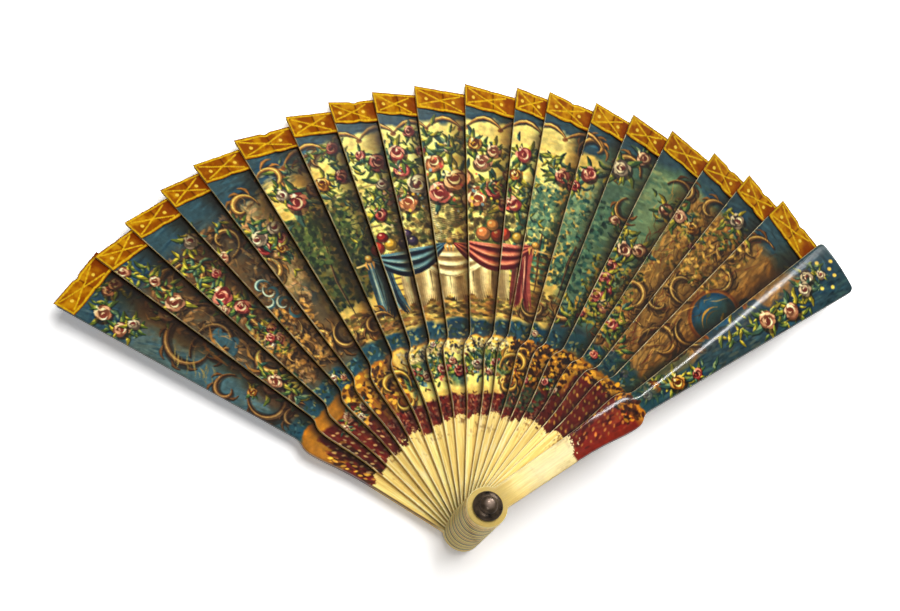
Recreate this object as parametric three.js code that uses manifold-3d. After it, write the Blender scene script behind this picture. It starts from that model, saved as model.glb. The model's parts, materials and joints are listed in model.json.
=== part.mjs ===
// Miniature folding fan of painted bone sticks, lying open on a table.
// Millimetres, +Z up. The origin is the middle of the flat foot of the rivet that pins the sticks together.
// The fan stands on that foot and on the tips of its middle sticks, so its pin leans a little.

import * as THREE from 'three';
import { mergeVertices } from 'three/addons/utils/BufferGeometryUtils.js';
import Module from 'manifold-3d';

const wasm = await Module();
wasm.setup();

// Opening of the fan: the turn from each stick to the next one over it, in degrees
const openSteps = [
  7.6, 5.6, 6.1, 5.2, 6.1, 7.3, 5.8, 5.8, 5.5, 6.6,
  6.8, 4.2, 6.2, 5.0, 5.4, 6.1, 5.3, 5.4, 7.0,
];
const rearGuardAzimuth = 147.1;

// Blades: reach from the pin's axis to the longest corner, half the angle between the edges, slant of the end
const stickReach = 92;
const stickHalfAngle = 4.0;
const stickEndSlant = 10;
const stickCornerRadius = 0.3;
const rearGuardExtra = 1.2;
const rearGuardReach = stickReach + rearGuardExtra;
const rearGuardHalfAngle = 4.1;
const frontGuardShortfall = 1;
const frontGuardReach = stickReach - frontGuardShortfall;
const frontGuardHalfAngle = 3.7;
const guardEndSlant = 4;
const guardCornerRadius = 1.1;

// Head, shank and shoulder, which all the sticks share
const headRadius = 4.0;
const neckHalfWidth = 2.3;
const shankReach = 20;
const shankHalfWidth = 2.6;
const shoulderReach = 34.2;
const shoulderHalfWidth = 3.85;
const notchReach = 38.3;
const flareStartShare = 0.5;
const flareEndShare = 0.75;
const stepRoundness = 0.55;

// Thickness of the sticks, and how they lie over each other
const stickThickness = 0.9;
const guardThickness = 2.3;
const stickGap = 0.25;
const notchThinning = 0.3;
const tipThinning = 0.4;
const guardFlatHalfWidth = 1.2;
const guardCrownRadius = 9;

// Rivet: a pin with a domed button at each end, each over a round collar
const pinRadius = 1.2;
const boreClearance = 0.1;
const collarRadius = 2.9;
const collarHeight = 1.1;
const collarEdgeHeight = 0.35;
const collarSeatDepth = 0.1;
const collarSeatMargin = 0.15;
const buttonRadius = 1.75;
const frontButtonHeight = 0.9;
const rearButtonHeight = 0.45;
const footRadius = 1.0;
const seatGap = 0.2;

// Ribbon from the end of each stick to the back of the next one
const ribbonWidth = 4.9;
const ribbonThickness = 0.15;
const ribbonLift = 0.1;
const ribbonCreaseRise = 0.2;
const ribbonTuck = 1.2;
const ribbonOverhang = 0.15;

// Fineness of the round stretches
const curveSteps = 8;
const crownSteps = 7;
const ribbonSteps = 3;
const turnedSteps = 28;
const domeSteps = 4;
const cutMargin = 2;

const bonePaint = 0x2f6378;
const ribbonGold = 0xd08a14;
const darkMetal = 0x3b302c;

const radians = THREE.MathUtils.degToRad;
const lastIndex = openSteps.length;

// Heights up the pin's axis, from the foot
const rearCollarBase = rearButtonHeight + seatGap;
const rearGuardBase = rearCollarBase + collarHeight + seatGap - collarSeatDepth;
const firstStickBase = rearGuardBase + guardThickness + stickGap;
const stickPitch = stickThickness + stickGap;
const frontGuardBase = firstStickBase + (lastIndex - 1) * stickPitch;
const frontCollarBase = frontGuardBase + guardThickness + seatGap - collarSeatDepth;
const frontButtonBase = frontCollarBase + collarHeight + seatGap;

// The sticks are counted from the rear guard, 0, to the front guard, which lies on top.
function stickForm(index) {
  const turned = openSteps.slice(0, index).reduce((sum, step) => sum + step, 0);
  const azimuth = rearGuardAzimuth - turned;
  const guard = { endSlant: guardEndSlant, cornerRadius: guardCornerRadius, thickness: guardThickness };
  if (index === 0) {
    return {
      ...guard, name: 'rear_guard', azimuth, base: rearGuardBase,
      reach: rearGuardReach, halfAngle: rearGuardHalfAngle,
    };
  }
  if (index === lastIndex) {
    return {
      ...guard, name: 'front_guard', azimuth, base: frontGuardBase,
      reach: frontGuardReach, halfAngle: frontGuardHalfAngle,
    };
  }
  return {
    name: `stick_${String(index).padStart(2, '0')}`,
    azimuth,
    base: firstStickBase + (index - 1) * stickPitch,
    reach: stickReach,
    halfAngle: stickHalfAngle,
    endSlant: stickEndSlant,
    cornerRadius: stickCornerRadius,
    thickness: stickThickness,
  };
}

const forms = Array.from({ length: lastIndex + 1 }, (_, index) => stickForm(index));

function toSolid(geometry) {
  const bare = geometry.clone();
  bare.deleteAttribute('normal');
  bare.deleteAttribute('uv');
  const merged = mergeVertices(bare, 1e-5);
  return new wasm.Manifold(new wasm.Mesh({
    numProp: 3,
    vertProperties: new Float32Array(merged.attributes.position.array),
    triVerts: new Uint32Array(merged.index.array),
  }));
}

function toGeometry(solid) {
  const mesh = solid.getMesh();
  const geometry = new THREE.BufferGeometry();
  geometry.setAttribute('position', new THREE.BufferAttribute(mesh.vertProperties, 3));
  geometry.setIndex(new THREE.BufferAttribute(mesh.triVerts, 1));
  geometry.computeVertexNormals();
  return geometry;
}

function extrude(shape, depth, curveSegments) {
  return new THREE.ExtrudeGeometry(shape, { depth, bevelEnabled: false, curveSegments });
}

function makePiece(name, geometry, color, roughness, metalness) {
  const material = new THREE.MeshStandardMaterial({ color, roughness, metalness });
  const piece = new THREE.Mesh(geometry, material);
  piece.name = name;
  return piece;
}

function turnedBy(point, degrees) {
  return point.clone().rotateAround(new THREE.Vector2(), radians(degrees));
}

// The end of a blade runs from its left corner, the longest, back to the right one.
function endOfBlade(form, reach) {
  const left = turnedBy(new THREE.Vector2(reach, 0), form.halfAngle);
  const along = turnedBy(new THREE.Vector2(0, -1), -form.endSlant);
  const taper = Math.tan(radians(form.halfAngle));
  const length = (left.y + left.x * taper) / (-along.y - along.x * taper);
  const right = left.clone().addScaledVector(along, length);
  return { left, right, along };
}

function roundCorner(shape, corner, before, after, radius) {
  const start = before.clone().sub(corner).setLength(radius).add(corner);
  const end = after.clone().sub(corner).setLength(radius).add(corner);
  shape.lineTo(start.x, start.y);
  shape.quadraticCurveTo(corner.x, corner.y, end.x, end.y);
}

// A stick lies along +X with its head round the origin. Its left edge is on the +Y side.
function stickOutline(form) {
  const neckAngle = Math.asin(neckHalfWidth / headRadius);
  const notchHalfWidth = notchReach * Math.tan(radians(form.halfAngle));
  const flareLength = shoulderReach - shankReach;
  const flareStart = shankReach + flareLength * flareStartShare;
  const flareEnd = shankReach + flareLength * flareEndShare;
  const stepLength = notchReach - shoulderReach;
  const stepOut = shoulderReach + stepLength * stepRoundness;
  const stepIn = notchReach - stepLength * stepRoundness;
  const notchRight = new THREE.Vector2(notchReach, -notchHalfWidth);
  const notchLeft = new THREE.Vector2(notchReach, notchHalfWidth);
  const { left, right } = endOfBlade(form, form.reach);

  const outline = new THREE.Shape();
  outline.moveTo(headRadius * Math.cos(neckAngle), neckHalfWidth);
  outline.absarc(0, 0, headRadius, neckAngle, 2 * Math.PI - neckAngle, false);
  outline.lineTo(shankReach, -shankHalfWidth);
  outline.bezierCurveTo(
    flareStart, -shankHalfWidth, flareEnd, -shoulderHalfWidth, shoulderReach, -shoulderHalfWidth,
  );
  outline.bezierCurveTo(
    stepOut, -shoulderHalfWidth, stepIn, -notchHalfWidth, notchReach, -notchHalfWidth,
  );
  roundCorner(outline, right, notchRight, left, form.cornerRadius);
  roundCorner(outline, left, right, notchLeft, form.cornerRadius);
  outline.lineTo(notchReach, notchHalfWidth);
  outline.bezierCurveTo(
    stepIn, notchHalfWidth, stepOut, shoulderHalfWidth, shoulderReach, shoulderHalfWidth,
  );
  outline.bezierCurveTo(
    flareEnd, shoulderHalfWidth, flareStart, shankHalfWidth, shankReach, shankHalfWidth,
  );
  outline.closePath();

  const bore = new THREE.Path();
  bore.absarc(0, 0, pinRadius + boreClearance, 0, 2 * Math.PI, true);
  outline.holes.push(bore);
  return outline;
}

// Past the shoulder a blade is thinned on its front face, which leaves room for the ribbon.
function thinBlade(solid, form) {
  const end = form.reach + cutMargin;
  const width = 4 * shoulderHalfWidth + cutMargin;
  const profile = new THREE.Shape();
  profile.moveTo(shoulderReach, form.thickness);
  profile.lineTo(notchReach, form.thickness - notchThinning);
  profile.lineTo(end, form.thickness - tipThinning);
  profile.lineTo(end, form.thickness + cutMargin);
  profile.lineTo(shoulderReach, form.thickness + cutMargin);
  profile.closePath();
  const cutter = extrude(profile, width, 1);
  cutter.rotateX(Math.PI / 2);
  cutter.translate(0, width / 2, 0);
  return solid.subtract(toSolid(cutter));
}

// The outer face of a guard is flat along its middle and falls away to both edges.
function crownDrop(y) {
  const pastFlat = Math.max(0, Math.abs(y) - guardFlatHalfWidth);
  return (pastFlat * pastFlat) / (2 * guardCrownRadius);
}

// A collar lies in a shallow round seat in the guard's outer face.
function makeCollarSeat(form) {
  const radius = collarRadius + collarSeatMargin;
  const seat = new THREE.Shape();
  seat.absarc(0, 0, radius, 0, 2 * Math.PI, false);
  const cutter = extrude(seat, collarSeatDepth + cutMargin, curveSteps);
  cutter.translate(0, 0, form.thickness - collarSeatDepth);
  return toSolid(cutter);
}

function crownGuard(solid, form, outward) {
  const halfWidth = form.reach * Math.tan(radians(form.halfAngle)) + cutMargin;
  const roundWidth = halfWidth - guardFlatHalfWidth;
  const section = new THREE.Shape();
  section.moveTo(-cutMargin, -halfWidth);
  for (let i = crownSteps; i >= 0; i -= 1) {
    const y = guardFlatHalfWidth + roundWidth * (i / crownSteps);
    section.lineTo(form.thickness - crownDrop(y), -y);
  }
  for (let i = 0; i <= crownSteps; i += 1) {
    const y = guardFlatHalfWidth + roundWidth * (i / crownSteps);
    section.lineTo(form.thickness - crownDrop(y), y);
  }
  section.lineTo(-cutMargin, halfWidth);
  section.closePath();
  const end = form.reach + cutMargin;
  const crown = extrude(section, end + headRadius + cutMargin, 1);
  crown.rotateY(-Math.PI / 2);
  crown.translate(end, 0, 0);
  const crowned = solid.intersect(toSolid(crown)).subtract(makeCollarSeat(form));
  return outward ? crowned : crowned.mirror([0, 0, 1]).translate([0, 0, form.thickness]);
}

function makeStickGeometry(form, index) {
  let solid = toSolid(extrude(stickOutline(form), form.thickness, curveSteps));
  if (index === 0 || index === lastIndex) {
    solid = crownGuard(solid, form, index === lastIndex);
  }
  if (index < lastIndex) {
    solid = thinBlade(solid, form);
  }
  return toGeometry(solid);
}

// A ribbon covers the end of its own stick and is tucked under the left edge of the next one.
function makeRibbonGeometry(form, nextForm) {
  const { left, along } = endOfBlade(form, form.reach + ribbonOverhang);
  const turnToNext = form.azimuth + form.halfAngle - nextForm.azimuth - nextForm.halfAngle;
  const length = left.length() * Math.sin(radians(turnToNext)) + ribbonTuck;
  const crease = length / 2;
  const dip = (crease + length) / 2;
  const rise = ribbonCreaseRise;
  const thick = ribbonThickness;

  const section = new THREE.Shape();
  section.moveTo(0, 0);
  section.quadraticCurveTo(crease / 2, 0, crease, rise);
  section.quadraticCurveTo(dip, rise / 2, length, rise);
  section.lineTo(length, rise + thick);
  section.quadraticCurveTo(dip, rise / 2 + thick, crease, rise + thick);
  section.quadraticCurveTo(crease / 2, thick, 0, thick);
  section.closePath();

  const inward = left.clone().normalize().negate();
  const bladeFace = form.thickness - tipThinning;
  const placed = new THREE.Matrix4().set(
    along.x, 0, inward.x, left.x,
    along.y, 0, inward.y, left.y,
    0, 1, 0, bladeFace + ribbonLift,
    0, 0, 0, 1,
  );
  return extrude(section, ribbonWidth, ribbonSteps).applyMatrix4(placed);
}

// The rivet's pieces are turned: each is a half section, given as radius and height.
function turn(points) {
  return new THREE.LatheGeometry(points, turnedSteps).rotateX(Math.PI / 2);
}

function at(radius, height) {
  return new THREE.Vector2(radius, height);
}

// A dome's side starts upright at its full radius and ends at the rim of its flat, or at the axis.
function dome(radius, flatRadius, base, height) {
  const lastAngle = Math.acos(flatRadius / radius);
  return Array.from({ length: domeSteps + 1 }, (_, i) => {
    const angle = (i / domeSteps) * lastAngle;
    return at(radius * Math.cos(angle), base + (height * Math.sin(angle)) / Math.sin(lastAngle));
  });
}

function makePinGeometry() {
  const foot = dome(buttonRadius, footRadius, rearButtonHeight, -rearButtonHeight).reverse();
  const cap = dome(buttonRadius, 0, frontButtonBase, frontButtonHeight).slice(0, -1);
  return turn([
    at(0, 0),
    ...foot,
    at(pinRadius, rearButtonHeight),
    at(pinRadius, frontButtonBase),
    ...cap,
    at(0, frontButtonBase + frontButtonHeight),
  ]);
}

function makeCollarGeometry() {
  const bore = pinRadius + boreClearance;
  const roundHeight = collarHeight - collarEdgeHeight;
  return turn([
    at(bore, 0),
    at(collarRadius - collarEdgeHeight, 0),
    ...dome(collarRadius, buttonRadius, collarEdgeHeight, roundHeight),
    at(bore, collarHeight),
    at(bore, 0),
  ]);
}

const pinned = new THREE.Group();

forms.forEach((form, index) => {
  const spoke = new THREE.Group();
  spoke.position.z = form.base;
  spoke.rotation.z = radians(form.azimuth);
  spoke.add(makePiece(form.name, makeStickGeometry(form, index), bonePaint, 0.3, 0));
  if (index < lastIndex) {
    const ribbonName = `ribbon_${String(index + 1).padStart(2, '0')}`;
    spoke.add(makePiece(ribbonName, makeRibbonGeometry(form, forms[index + 1]), ribbonGold, 0.4, 0));
  }
  pinned.add(spoke);
});

const rearCollar = makePiece('rear_collar', makeCollarGeometry(), darkMetal, 0.4, 0.8);
rearCollar.rotation.x = Math.PI;
rearCollar.position.z = rearCollarBase + collarHeight;
const frontCollar = makePiece('front_collar', makeCollarGeometry(), darkMetal, 0.4, 0.8);
frontCollar.position.z = frontCollarBase;
const rivetPin = makePiece('rivet_pin', makePinGeometry(), darkMetal, 0.35, 0.8);
pinned.add(rearCollar, frontCollar, rivetPin);

// The open fan tips over the edge of its foot until the ends of its blades reach the table.
// Of all such rests, it takes the one in which the blades' middle is lowest.
function bladeEnds() {
  return forms.flatMap((form) => {
    const { left, right } = endOfBlade(form, form.reach);
    return [left, right].map((corner) => {
      const { x, y } = turnedBy(corner, form.azimuth);
      return new THREE.Vector3(x, y, form.base);
    });
  });
}

function planeOnFoot(first, second) {
  const foot = new THREE.Vector3();
  const normal = new THREE.Vector3();
  for (let pass = 0; pass < 6; pass += 1) {
    normal.crossVectors(first.clone().sub(foot), second.clone().sub(foot)).normalize();
    if (normal.z < 0) {
      normal.negate();
    }
    foot.set(-normal.x, -normal.y, 0).setLength(footRadius);
  }
  return { foot, normal };
}

function restingNormal() {
  const ends = bladeEnds();
  const middle = ends.reduce((sum, end) => sum.add(end), new THREE.Vector3());
  middle.divideScalar(2 * ends.length);
  const rest = { height: Infinity, normal: new THREE.Vector3(0, 0, 1) };
  ends.forEach((first, i) => {
    ends.slice(i + 1).forEach((second) => {
      const { foot, normal } = planeOnFoot(first, second);
      const isClear = ends.every((end) => end.clone().sub(foot).dot(normal) > -1e-6);
      const height = middle.clone().sub(foot).dot(normal);
      if (isClear && height < rest.height) {
        rest.height = height;
        rest.normal = normal;
      }
    });
  });
  return rest.normal;
}

pinned.quaternion.setFromUnitVectors(restingNormal(), new THREE.Vector3(0, 0, 1));

const fan = new THREE.Group();
fan.add(pinned);

export default fan;
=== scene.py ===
# %% [markdown]
# A miniature folding fan, open on a table. It is a brisé fan: it has no pleated leaf, and its whole face is
# made of thin bone sticks that lie over each other like tiles. A rivet holds their heads in a stack, and a
# gilt paper ribbon links their tips. The painter worked on the open fan, so one picture runs over them all.

import json
import math

import bpy
import numpy as np
from mathutils import Matrix, Quaternion, Vector


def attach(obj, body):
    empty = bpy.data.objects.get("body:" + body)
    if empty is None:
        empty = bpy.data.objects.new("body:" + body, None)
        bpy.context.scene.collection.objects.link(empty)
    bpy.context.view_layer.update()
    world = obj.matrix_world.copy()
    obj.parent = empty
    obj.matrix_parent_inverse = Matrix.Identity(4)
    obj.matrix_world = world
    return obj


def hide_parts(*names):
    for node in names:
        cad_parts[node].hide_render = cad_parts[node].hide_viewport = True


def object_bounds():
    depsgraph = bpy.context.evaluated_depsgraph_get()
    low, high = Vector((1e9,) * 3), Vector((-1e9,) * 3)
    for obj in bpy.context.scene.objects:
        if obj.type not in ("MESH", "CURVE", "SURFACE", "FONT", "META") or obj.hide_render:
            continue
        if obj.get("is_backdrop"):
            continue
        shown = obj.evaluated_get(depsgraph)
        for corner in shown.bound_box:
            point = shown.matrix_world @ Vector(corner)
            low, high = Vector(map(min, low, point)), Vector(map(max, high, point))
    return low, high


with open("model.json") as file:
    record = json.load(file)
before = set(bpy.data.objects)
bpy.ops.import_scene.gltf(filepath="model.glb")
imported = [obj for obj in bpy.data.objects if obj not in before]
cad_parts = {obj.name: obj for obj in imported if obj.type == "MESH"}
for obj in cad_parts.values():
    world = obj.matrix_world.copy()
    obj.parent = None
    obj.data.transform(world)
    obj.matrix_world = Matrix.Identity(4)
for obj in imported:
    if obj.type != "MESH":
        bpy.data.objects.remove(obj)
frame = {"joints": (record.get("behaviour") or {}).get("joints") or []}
cad_low, cad_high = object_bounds()
print("CAD box in mm:", [round(v * 1000, 1) for v in cad_high - cad_low])

# %% [markdown]
# The sizes of the sticks are those of the CAD model, in millimetres. Each stick swings about the rivet's pin,
# so its place is a height up the pin and a turn about it. The frame gives the pin's direction.

# %% Sizes of the fan
MM = 0.001
OPEN_STEPS = [7.6, 5.6, 6.1, 5.2, 6.1, 7.3, 5.8, 5.8, 5.5, 6.6, 6.8, 4.2, 6.2, 5.0, 5.4, 6.1, 5.3, 5.4, 7.0]
REAR_AZIMUTH = 147.1
LAST = len(OPEN_STEPS)
HEAD_RADIUS, NECK_HALF, BORE_RADIUS = 4.0, 2.3, 1.3
STICK_REACH, STICK_HALF_ANGLE = 92.0, 4.0
SHANK_REACH, SHANK_HALF = 20.0, 2.6
SHOULDER_REACH, SHOULDER_HALF, NOTCH_REACH = 34.2, 3.85, 38.3
STICK_THICK, GUARD_THICK, STICK_GAP = 0.9, 2.3, 0.25
NOTCH_THINNING, TIP_THINNING, THINNED_REACH = 0.3, 0.4, 94.0
CROWN_FLAT, CROWN_RADIUS = 1.2, 9.0
BLADE_BOW = 0.72
REAR_COLLAR_BASE, COLLAR_HEIGHT, SEAT_GAP, SEAT_DEPTH = 0.65, 1.1, 0.2, 0.1
REAR_GUARD_BASE = REAR_COLLAR_BASE + COLLAR_HEIGHT + SEAT_GAP - SEAT_DEPTH
FIRST_STICK_BASE = REAR_GUARD_BASE + GUARD_THICK + STICK_GAP
STICK_PITCH = STICK_THICK + STICK_GAP
FRONT_GUARD_BASE = FIRST_STICK_BASE + (LAST - 1) * STICK_PITCH
FRONT_COLLAR_BASE = FRONT_GUARD_BASE + GUARD_THICK + SEAT_GAP - SEAT_DEPTH

pin_axis = Vector(frame["joints"][0]["axis"]).normalized()
pin_turn = Vector((0, 0, 1)).rotation_difference(pin_axis).to_matrix().to_4x4()


def stick_form(index):
    """The sizes of one stick, counted from the rear guard."""
    form = dict(
        index=index, name=f"stick_{index:02d}", is_guard=False,
        azimuth=REAR_AZIMUTH - sum(OPEN_STEPS[:index]), base=FIRST_STICK_BASE + (index - 1) * STICK_PITCH,
        reach=STICK_REACH, half_angle=STICK_HALF_ANGLE, slant=10.0, corner=0.3, thick=STICK_THICK, edge=0.12,
    )
    if index == 0:
        form.update(name="rear_guard", base=REAR_GUARD_BASE, reach=93.2, half_angle=4.1)
    if index == LAST:
        form.update(name="front_guard", base=FRONT_GUARD_BASE, reach=91.0, half_angle=3.7)
    if index in (0, LAST):
        form.update(slant=4.0, corner=1.1, thick=GUARD_THICK, edge=0.35, is_guard=True)
    return form


def place_of(base, azimuth):
    """From a stick lying along X, in millimetres, to its place on the table, in metres."""
    turned = Matrix.Rotation(math.radians(azimuth), 4, "Z")
    return Matrix.Scale(MM, 4) @ pin_turn @ Matrix.Translation((0, 0, base)) @ turned


forms = [stick_form(index) for index in range(LAST + 1)]
pin_lean = math.degrees(pin_axis.angle(Vector((0, 0, 1))))
print("sticks:", len(forms), "pin leans", round(pin_lean, 1), "degrees")

# %% [markdown]
# The camera stands almost straight over the fan, a little towards the viewer and to the left. A long lens
# keeps the sticks' taper true.

# %% Camera
CAMERA_PLACE = Vector((-23.58, -14.73, 366.82)) * MM
CAMERA_AIM = Vector((-1.60, 46.70, 0.0)) * MM
CAMERA_UP = Vector((0, 1, 0.167409))
LENS, SENSOR_WIDTH = 72.5, 36.0
camera_data = bpy.data.cameras.new("camera")
camera_data.lens = LENS
camera_data.sensor_width = SENSOR_WIDTH
camera_data.clip_start, camera_data.clip_end = 0.01, 10.0
camera = bpy.data.objects.new("camera", camera_data)
bpy.context.scene.collection.objects.link(camera)
camera_back = (CAMERA_PLACE - CAMERA_AIM).normalized()
camera_right = CAMERA_UP.cross(camera_back).normalized()
camera_up = camera_back.cross(camera_right)
camera.location = CAMERA_PLACE
camera.rotation_euler = Matrix((camera_right, camera_up, camera_back)).transposed().to_euler()
bpy.context.scene.camera = camera
print("camera is", round((CAMERA_AIM - CAMERA_PLACE).length, 3), "m from the middle of the fan")

# %% [markdown]
# The fan lies on a white table. The overhead lamp stands beyond it and a little to the right, so each stick
# on the left throws a shadow on the one below it. Glossy rays don't see that lamp, because the sticks of the
# real fan don't mirror theirs. A low lamp at the far right picks out the edges of the sticks. A narrow,
# turned gloss lamp behind the fan gives the front guard its thin highlight, and two weak lamps fill from the
# near side. To the camera alone the table is brighter than paper, as in an overexposed photograph, so only
# the darkest part of the fan's shadow shows on it.

# %% Table and light
scene = bpy.context.scene
scene.view_settings.view_transform = "Standard"


def node(tree, kind, **sockets):
    """Adds a node and sets its sockets, named with underscores for spaces."""
    made = tree.nodes.new("ShaderNode" + kind)
    for key, value in sockets.items():
        made.inputs[key.replace("_", " ")].default_value = value
    return made


def link(tree, start, end):
    tree.links.new(start, end)


def either(tree, share, first, second):
    """A shader mix that goes from first to second as share goes from 0 to 1."""
    mix = node(tree, "MixShader")
    for socket, start in zip(mix.inputs, (share, first, second)):
        link(tree, start, socket)
    return mix.outputs[0]


def together(tree, first, second):
    """The light of two shaders added up."""
    total = node(tree, "AddShader")
    for socket, start in zip(total.inputs, (first, second)):
        link(tree, start, socket)
    return total.outputs[0]


def new_material(name):
    material = bpy.data.materials.new(name)
    material.use_nodes = True
    tree = material.node_tree
    tree.nodes.clear()
    return material, tree, node(tree, "OutputMaterial")


def soft_lamp(name, place, aim, size, watts, roll=0.0):
    data = bpy.data.lights.new(name, "AREA")
    data.shape = "RECTANGLE"
    data.size, data.size_y = size
    data.energy = watts
    lamp = bpy.data.objects.new(name, data)
    scene.collection.objects.link(lamp)
    lamp.location = place
    aimed = (Vector(aim) - Vector(place)).to_track_quat("-Z", "Y")
    lamp.rotation_euler = (aimed @ Quaternion((0, 0, 1), math.radians(roll))).to_euler()
    return lamp


FAN_MIDDLE = (0.0, 0.045, 0.0)
soft_lamp("side_lamp", (0.37, 0.47, 0.25), FAN_MIDDLE, (0.20, 0.12), 1.1)
soft_lamp("gloss_lamp", (0.249, 0.693, 0.733), FAN_MIDDLE, (0.045, 0.20), 1.1, roll=-27)
soft_lamp("near_lamp", (-0.08, -0.50, 0.33), FAN_MIDDLE, (0.5, 0.28), 0.42)
soft_lamp("catch_lamp", (0.03, -0.10, 0.6), (0, 0, 0.03), (0.05, 0.04), 0.36)
overhead = soft_lamp("overhead_lamp", (0.14, 0.185, 0.56), FAN_MIDDLE, (0.27, 0.27), 2.55)
overhead.visible_glossy = False

WHITE_LIGHT = (1, 1, 1, 1)
world = bpy.data.worlds.new("studio")
scene.world = world
world.use_nodes = True
sky_tree = world.node_tree
sky_tree.nodes.clear()
sky_out = node(sky_tree, "OutputWorld")
room_light = node(sky_tree, "Background", Color=WHITE_LIGHT, Strength=0.08)
dim_room = node(sky_tree, "Background", Color=WHITE_LIGHT, Strength=0.2)
white_sky = node(sky_tree, "Background", Color=WHITE_LIGHT, Strength=1.0)
sky_ray = node(sky_tree, "LightPath")
room = either(sky_tree, sky_ray.outputs["Is Glossy Ray"], room_light.outputs[0], dim_room.outputs[0])
sky = either(sky_tree, sky_ray.outputs["Is Camera Ray"], room, white_sky.outputs[0])
link(sky_tree, sky, sky_out.inputs["Surface"])

TABLE_SIZE = 4.0
bpy.ops.object.select_all(action="DESELECT")
bpy.ops.mesh.primitive_plane_add(size=TABLE_SIZE, location=(0, 0, cad_low.z))
table = bpy.context.object
table.name = "table"
table_white, table_tree, table_out = new_material("table_white")
paper = node(table_tree, "BsdfDiffuse", Color=(0.9, 0.9, 0.9, 1))
bright_paper = node(table_tree, "BsdfDiffuse", Color=(0.65, 0.63, 0.61, 1))
lift = node(table_tree, "Emission", Color=WHITE_LIGHT)
spot_on_table = node(table_tree, "TexCoord")
distance = node(table_tree, "VectorMath")
distance.operation = "LENGTH"
fade = node(table_tree, "MapRange", From_Min=0.16, From_Max=0.6, To_Min=0.04, To_Max=1.0)
table_ray = node(table_tree, "LightPath")
link(table_tree, spot_on_table.outputs["Object"], distance.inputs[0])
link(table_tree, distance.outputs["Value"], fade.inputs["Value"])
link(table_tree, fade.outputs["Result"], lift.inputs["Strength"])
lifted = together(table_tree, bright_paper.outputs[0], lift.outputs[0])
brighter = together(table_tree, lifted, paper.outputs[0])
table_top = either(table_tree, table_ray.outputs["Is Camera Ray"], paper.outputs[0], brighter)
link(table_tree, table_top, table_out.inputs["Surface"])
table.data.materials.append(table_white)
table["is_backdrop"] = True
print("table at", round(cad_low.z * 1000, 2), "mm")

# %% [markdown]
# The picture is painted first, on a flat canvas that stands for the open fan. A picture file could carry it,
# but here every leaf and petal is a brush stroke placed in code: a line of soft capsules for a long stroke,
# an ellipse for a dab. Places are given the way the fan is built: how many sticks from the left, and how far
# from the pin. Each stick then takes its colours from its own part of the canvas.

# %% Canvas and brushes
PAINT_STEP = sum(OPEN_STEPS) / LAST
PAINT_LEFT = REAR_AZIMUTH + STICK_HALF_ANGLE
CANVAS_LOW = np.array([-96.0, -8.0])
CANVAS_HIGH = np.array([96.0, 97.0])
CANVAS_PITCH = 0.1
OCTAVES = 4
canvas_cells = np.round((CANVAS_HIGH - CANVAS_LOW) / CANVAS_PITCH).astype(int)
canvas = np.zeros((canvas_cells[1], canvas_cells[0], 3), np.float32)
cell_x = CANVAS_LOW[0] + (np.arange(canvas_cells[0]) + 0.5) * CANVAS_PITCH
cell_y = CANVAS_LOW[1] + (np.arange(canvas_cells[1]) + 0.5) * CANVAS_PITCH
luck = np.random.default_rng(7)


def cloud(size, seed):
    """Smooth noise from 0 to 1 whose blotches are about size millimetres wide."""
    rows, columns = canvas.shape[:2]
    own = np.random.default_rng(seed)
    total = np.zeros((rows, columns), np.float32)
    for octave in range(OCTAVES):
        step = max(size / CANVAS_PITCH / 2 ** octave, 1.5)
        coarse = own.random((int(rows / step) + 3, int(columns / step) + 3)).astype(np.float32)
        y, x = np.arange(rows) / step, np.arange(columns) / step
        yi, xi = y.astype(int), x.astype(int)
        fy, fx = (y - yi)[:, None], (x - xi)[None, :]
        fy, fx = fy * fy * (3 - 2 * fy), fx * fx * (3 - 2 * fx)
        top = coarse[yi][:, xi] * (1 - fx) + coarse[yi][:, xi + 1] * fx
        low = coarse[yi + 1][:, xi] * (1 - fx) + coarse[yi + 1][:, xi + 1] * fx
        total += 0.5 ** octave * (top * (1 - fy) + low * fy)
    even = total / sum(0.5 ** octave for octave in range(OCTAVES))
    return np.clip((even - 0.5) * 1.5 + 0.5, 0, 1)


bristles = cloud(0.35, 3)
blotches = cloud(3.0, 4)
broad_blotches = cloud(9.0, 5)
azimuth_map = np.degrees(np.arctan2(cell_y[:, None], cell_x[None, :]))
radius_map = np.hypot(cell_y[:, None], cell_x[None, :])
stick_map = (PAINT_LEFT - azimuth_map) / PAINT_STEP
ragged_radius = radius_map + (blotches - 0.5) * 1.8
ragged_stick = stick_map + (cloud(2.0, 6) - 0.5) * 0.3


def outward(stick):
    """Direction away from the pin, in radians."""
    return math.radians(PAINT_LEFT - stick * PAINT_STEP)


def toward(angle):
    return np.array([math.cos(angle), math.sin(angle)])


def spot(stick, radius):
    """The canvas place of a point, in sticks from the left edge and millimetres from the pin."""
    return radius * toward(outward(stick))


def rgb(red, green, blue):
    return np.array([red, green, blue], np.float32)


def lighter(colour, share, white=(255, 246, 222)):
    return colour + (np.array(white, np.float32) - colour) * share


def pick(tones):
    return np.clip(tones[luck.integers(len(tones))] * luck.uniform(0.85, 1.15), 0, 255)


def window(low, high):
    """The cells from low to high, as slices, with their places."""
    start = np.maximum(((np.asarray(low) - CANVAS_LOW) / CANVAS_PITCH).astype(int), 0)
    stop = np.minimum(((np.asarray(high) - CANVAS_LOW) / CANVAS_PITCH).astype(int) + 2, canvas_cells)
    rows, columns = slice(start[1], stop[1]), slice(start[0], stop[0])
    return rows, columns, cell_x[columns][None, :], cell_y[rows][:, None]


def lay(rows, columns, cover, colour):
    area = canvas[rows, columns]
    area += cover[..., None] * (colour - area)


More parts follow.
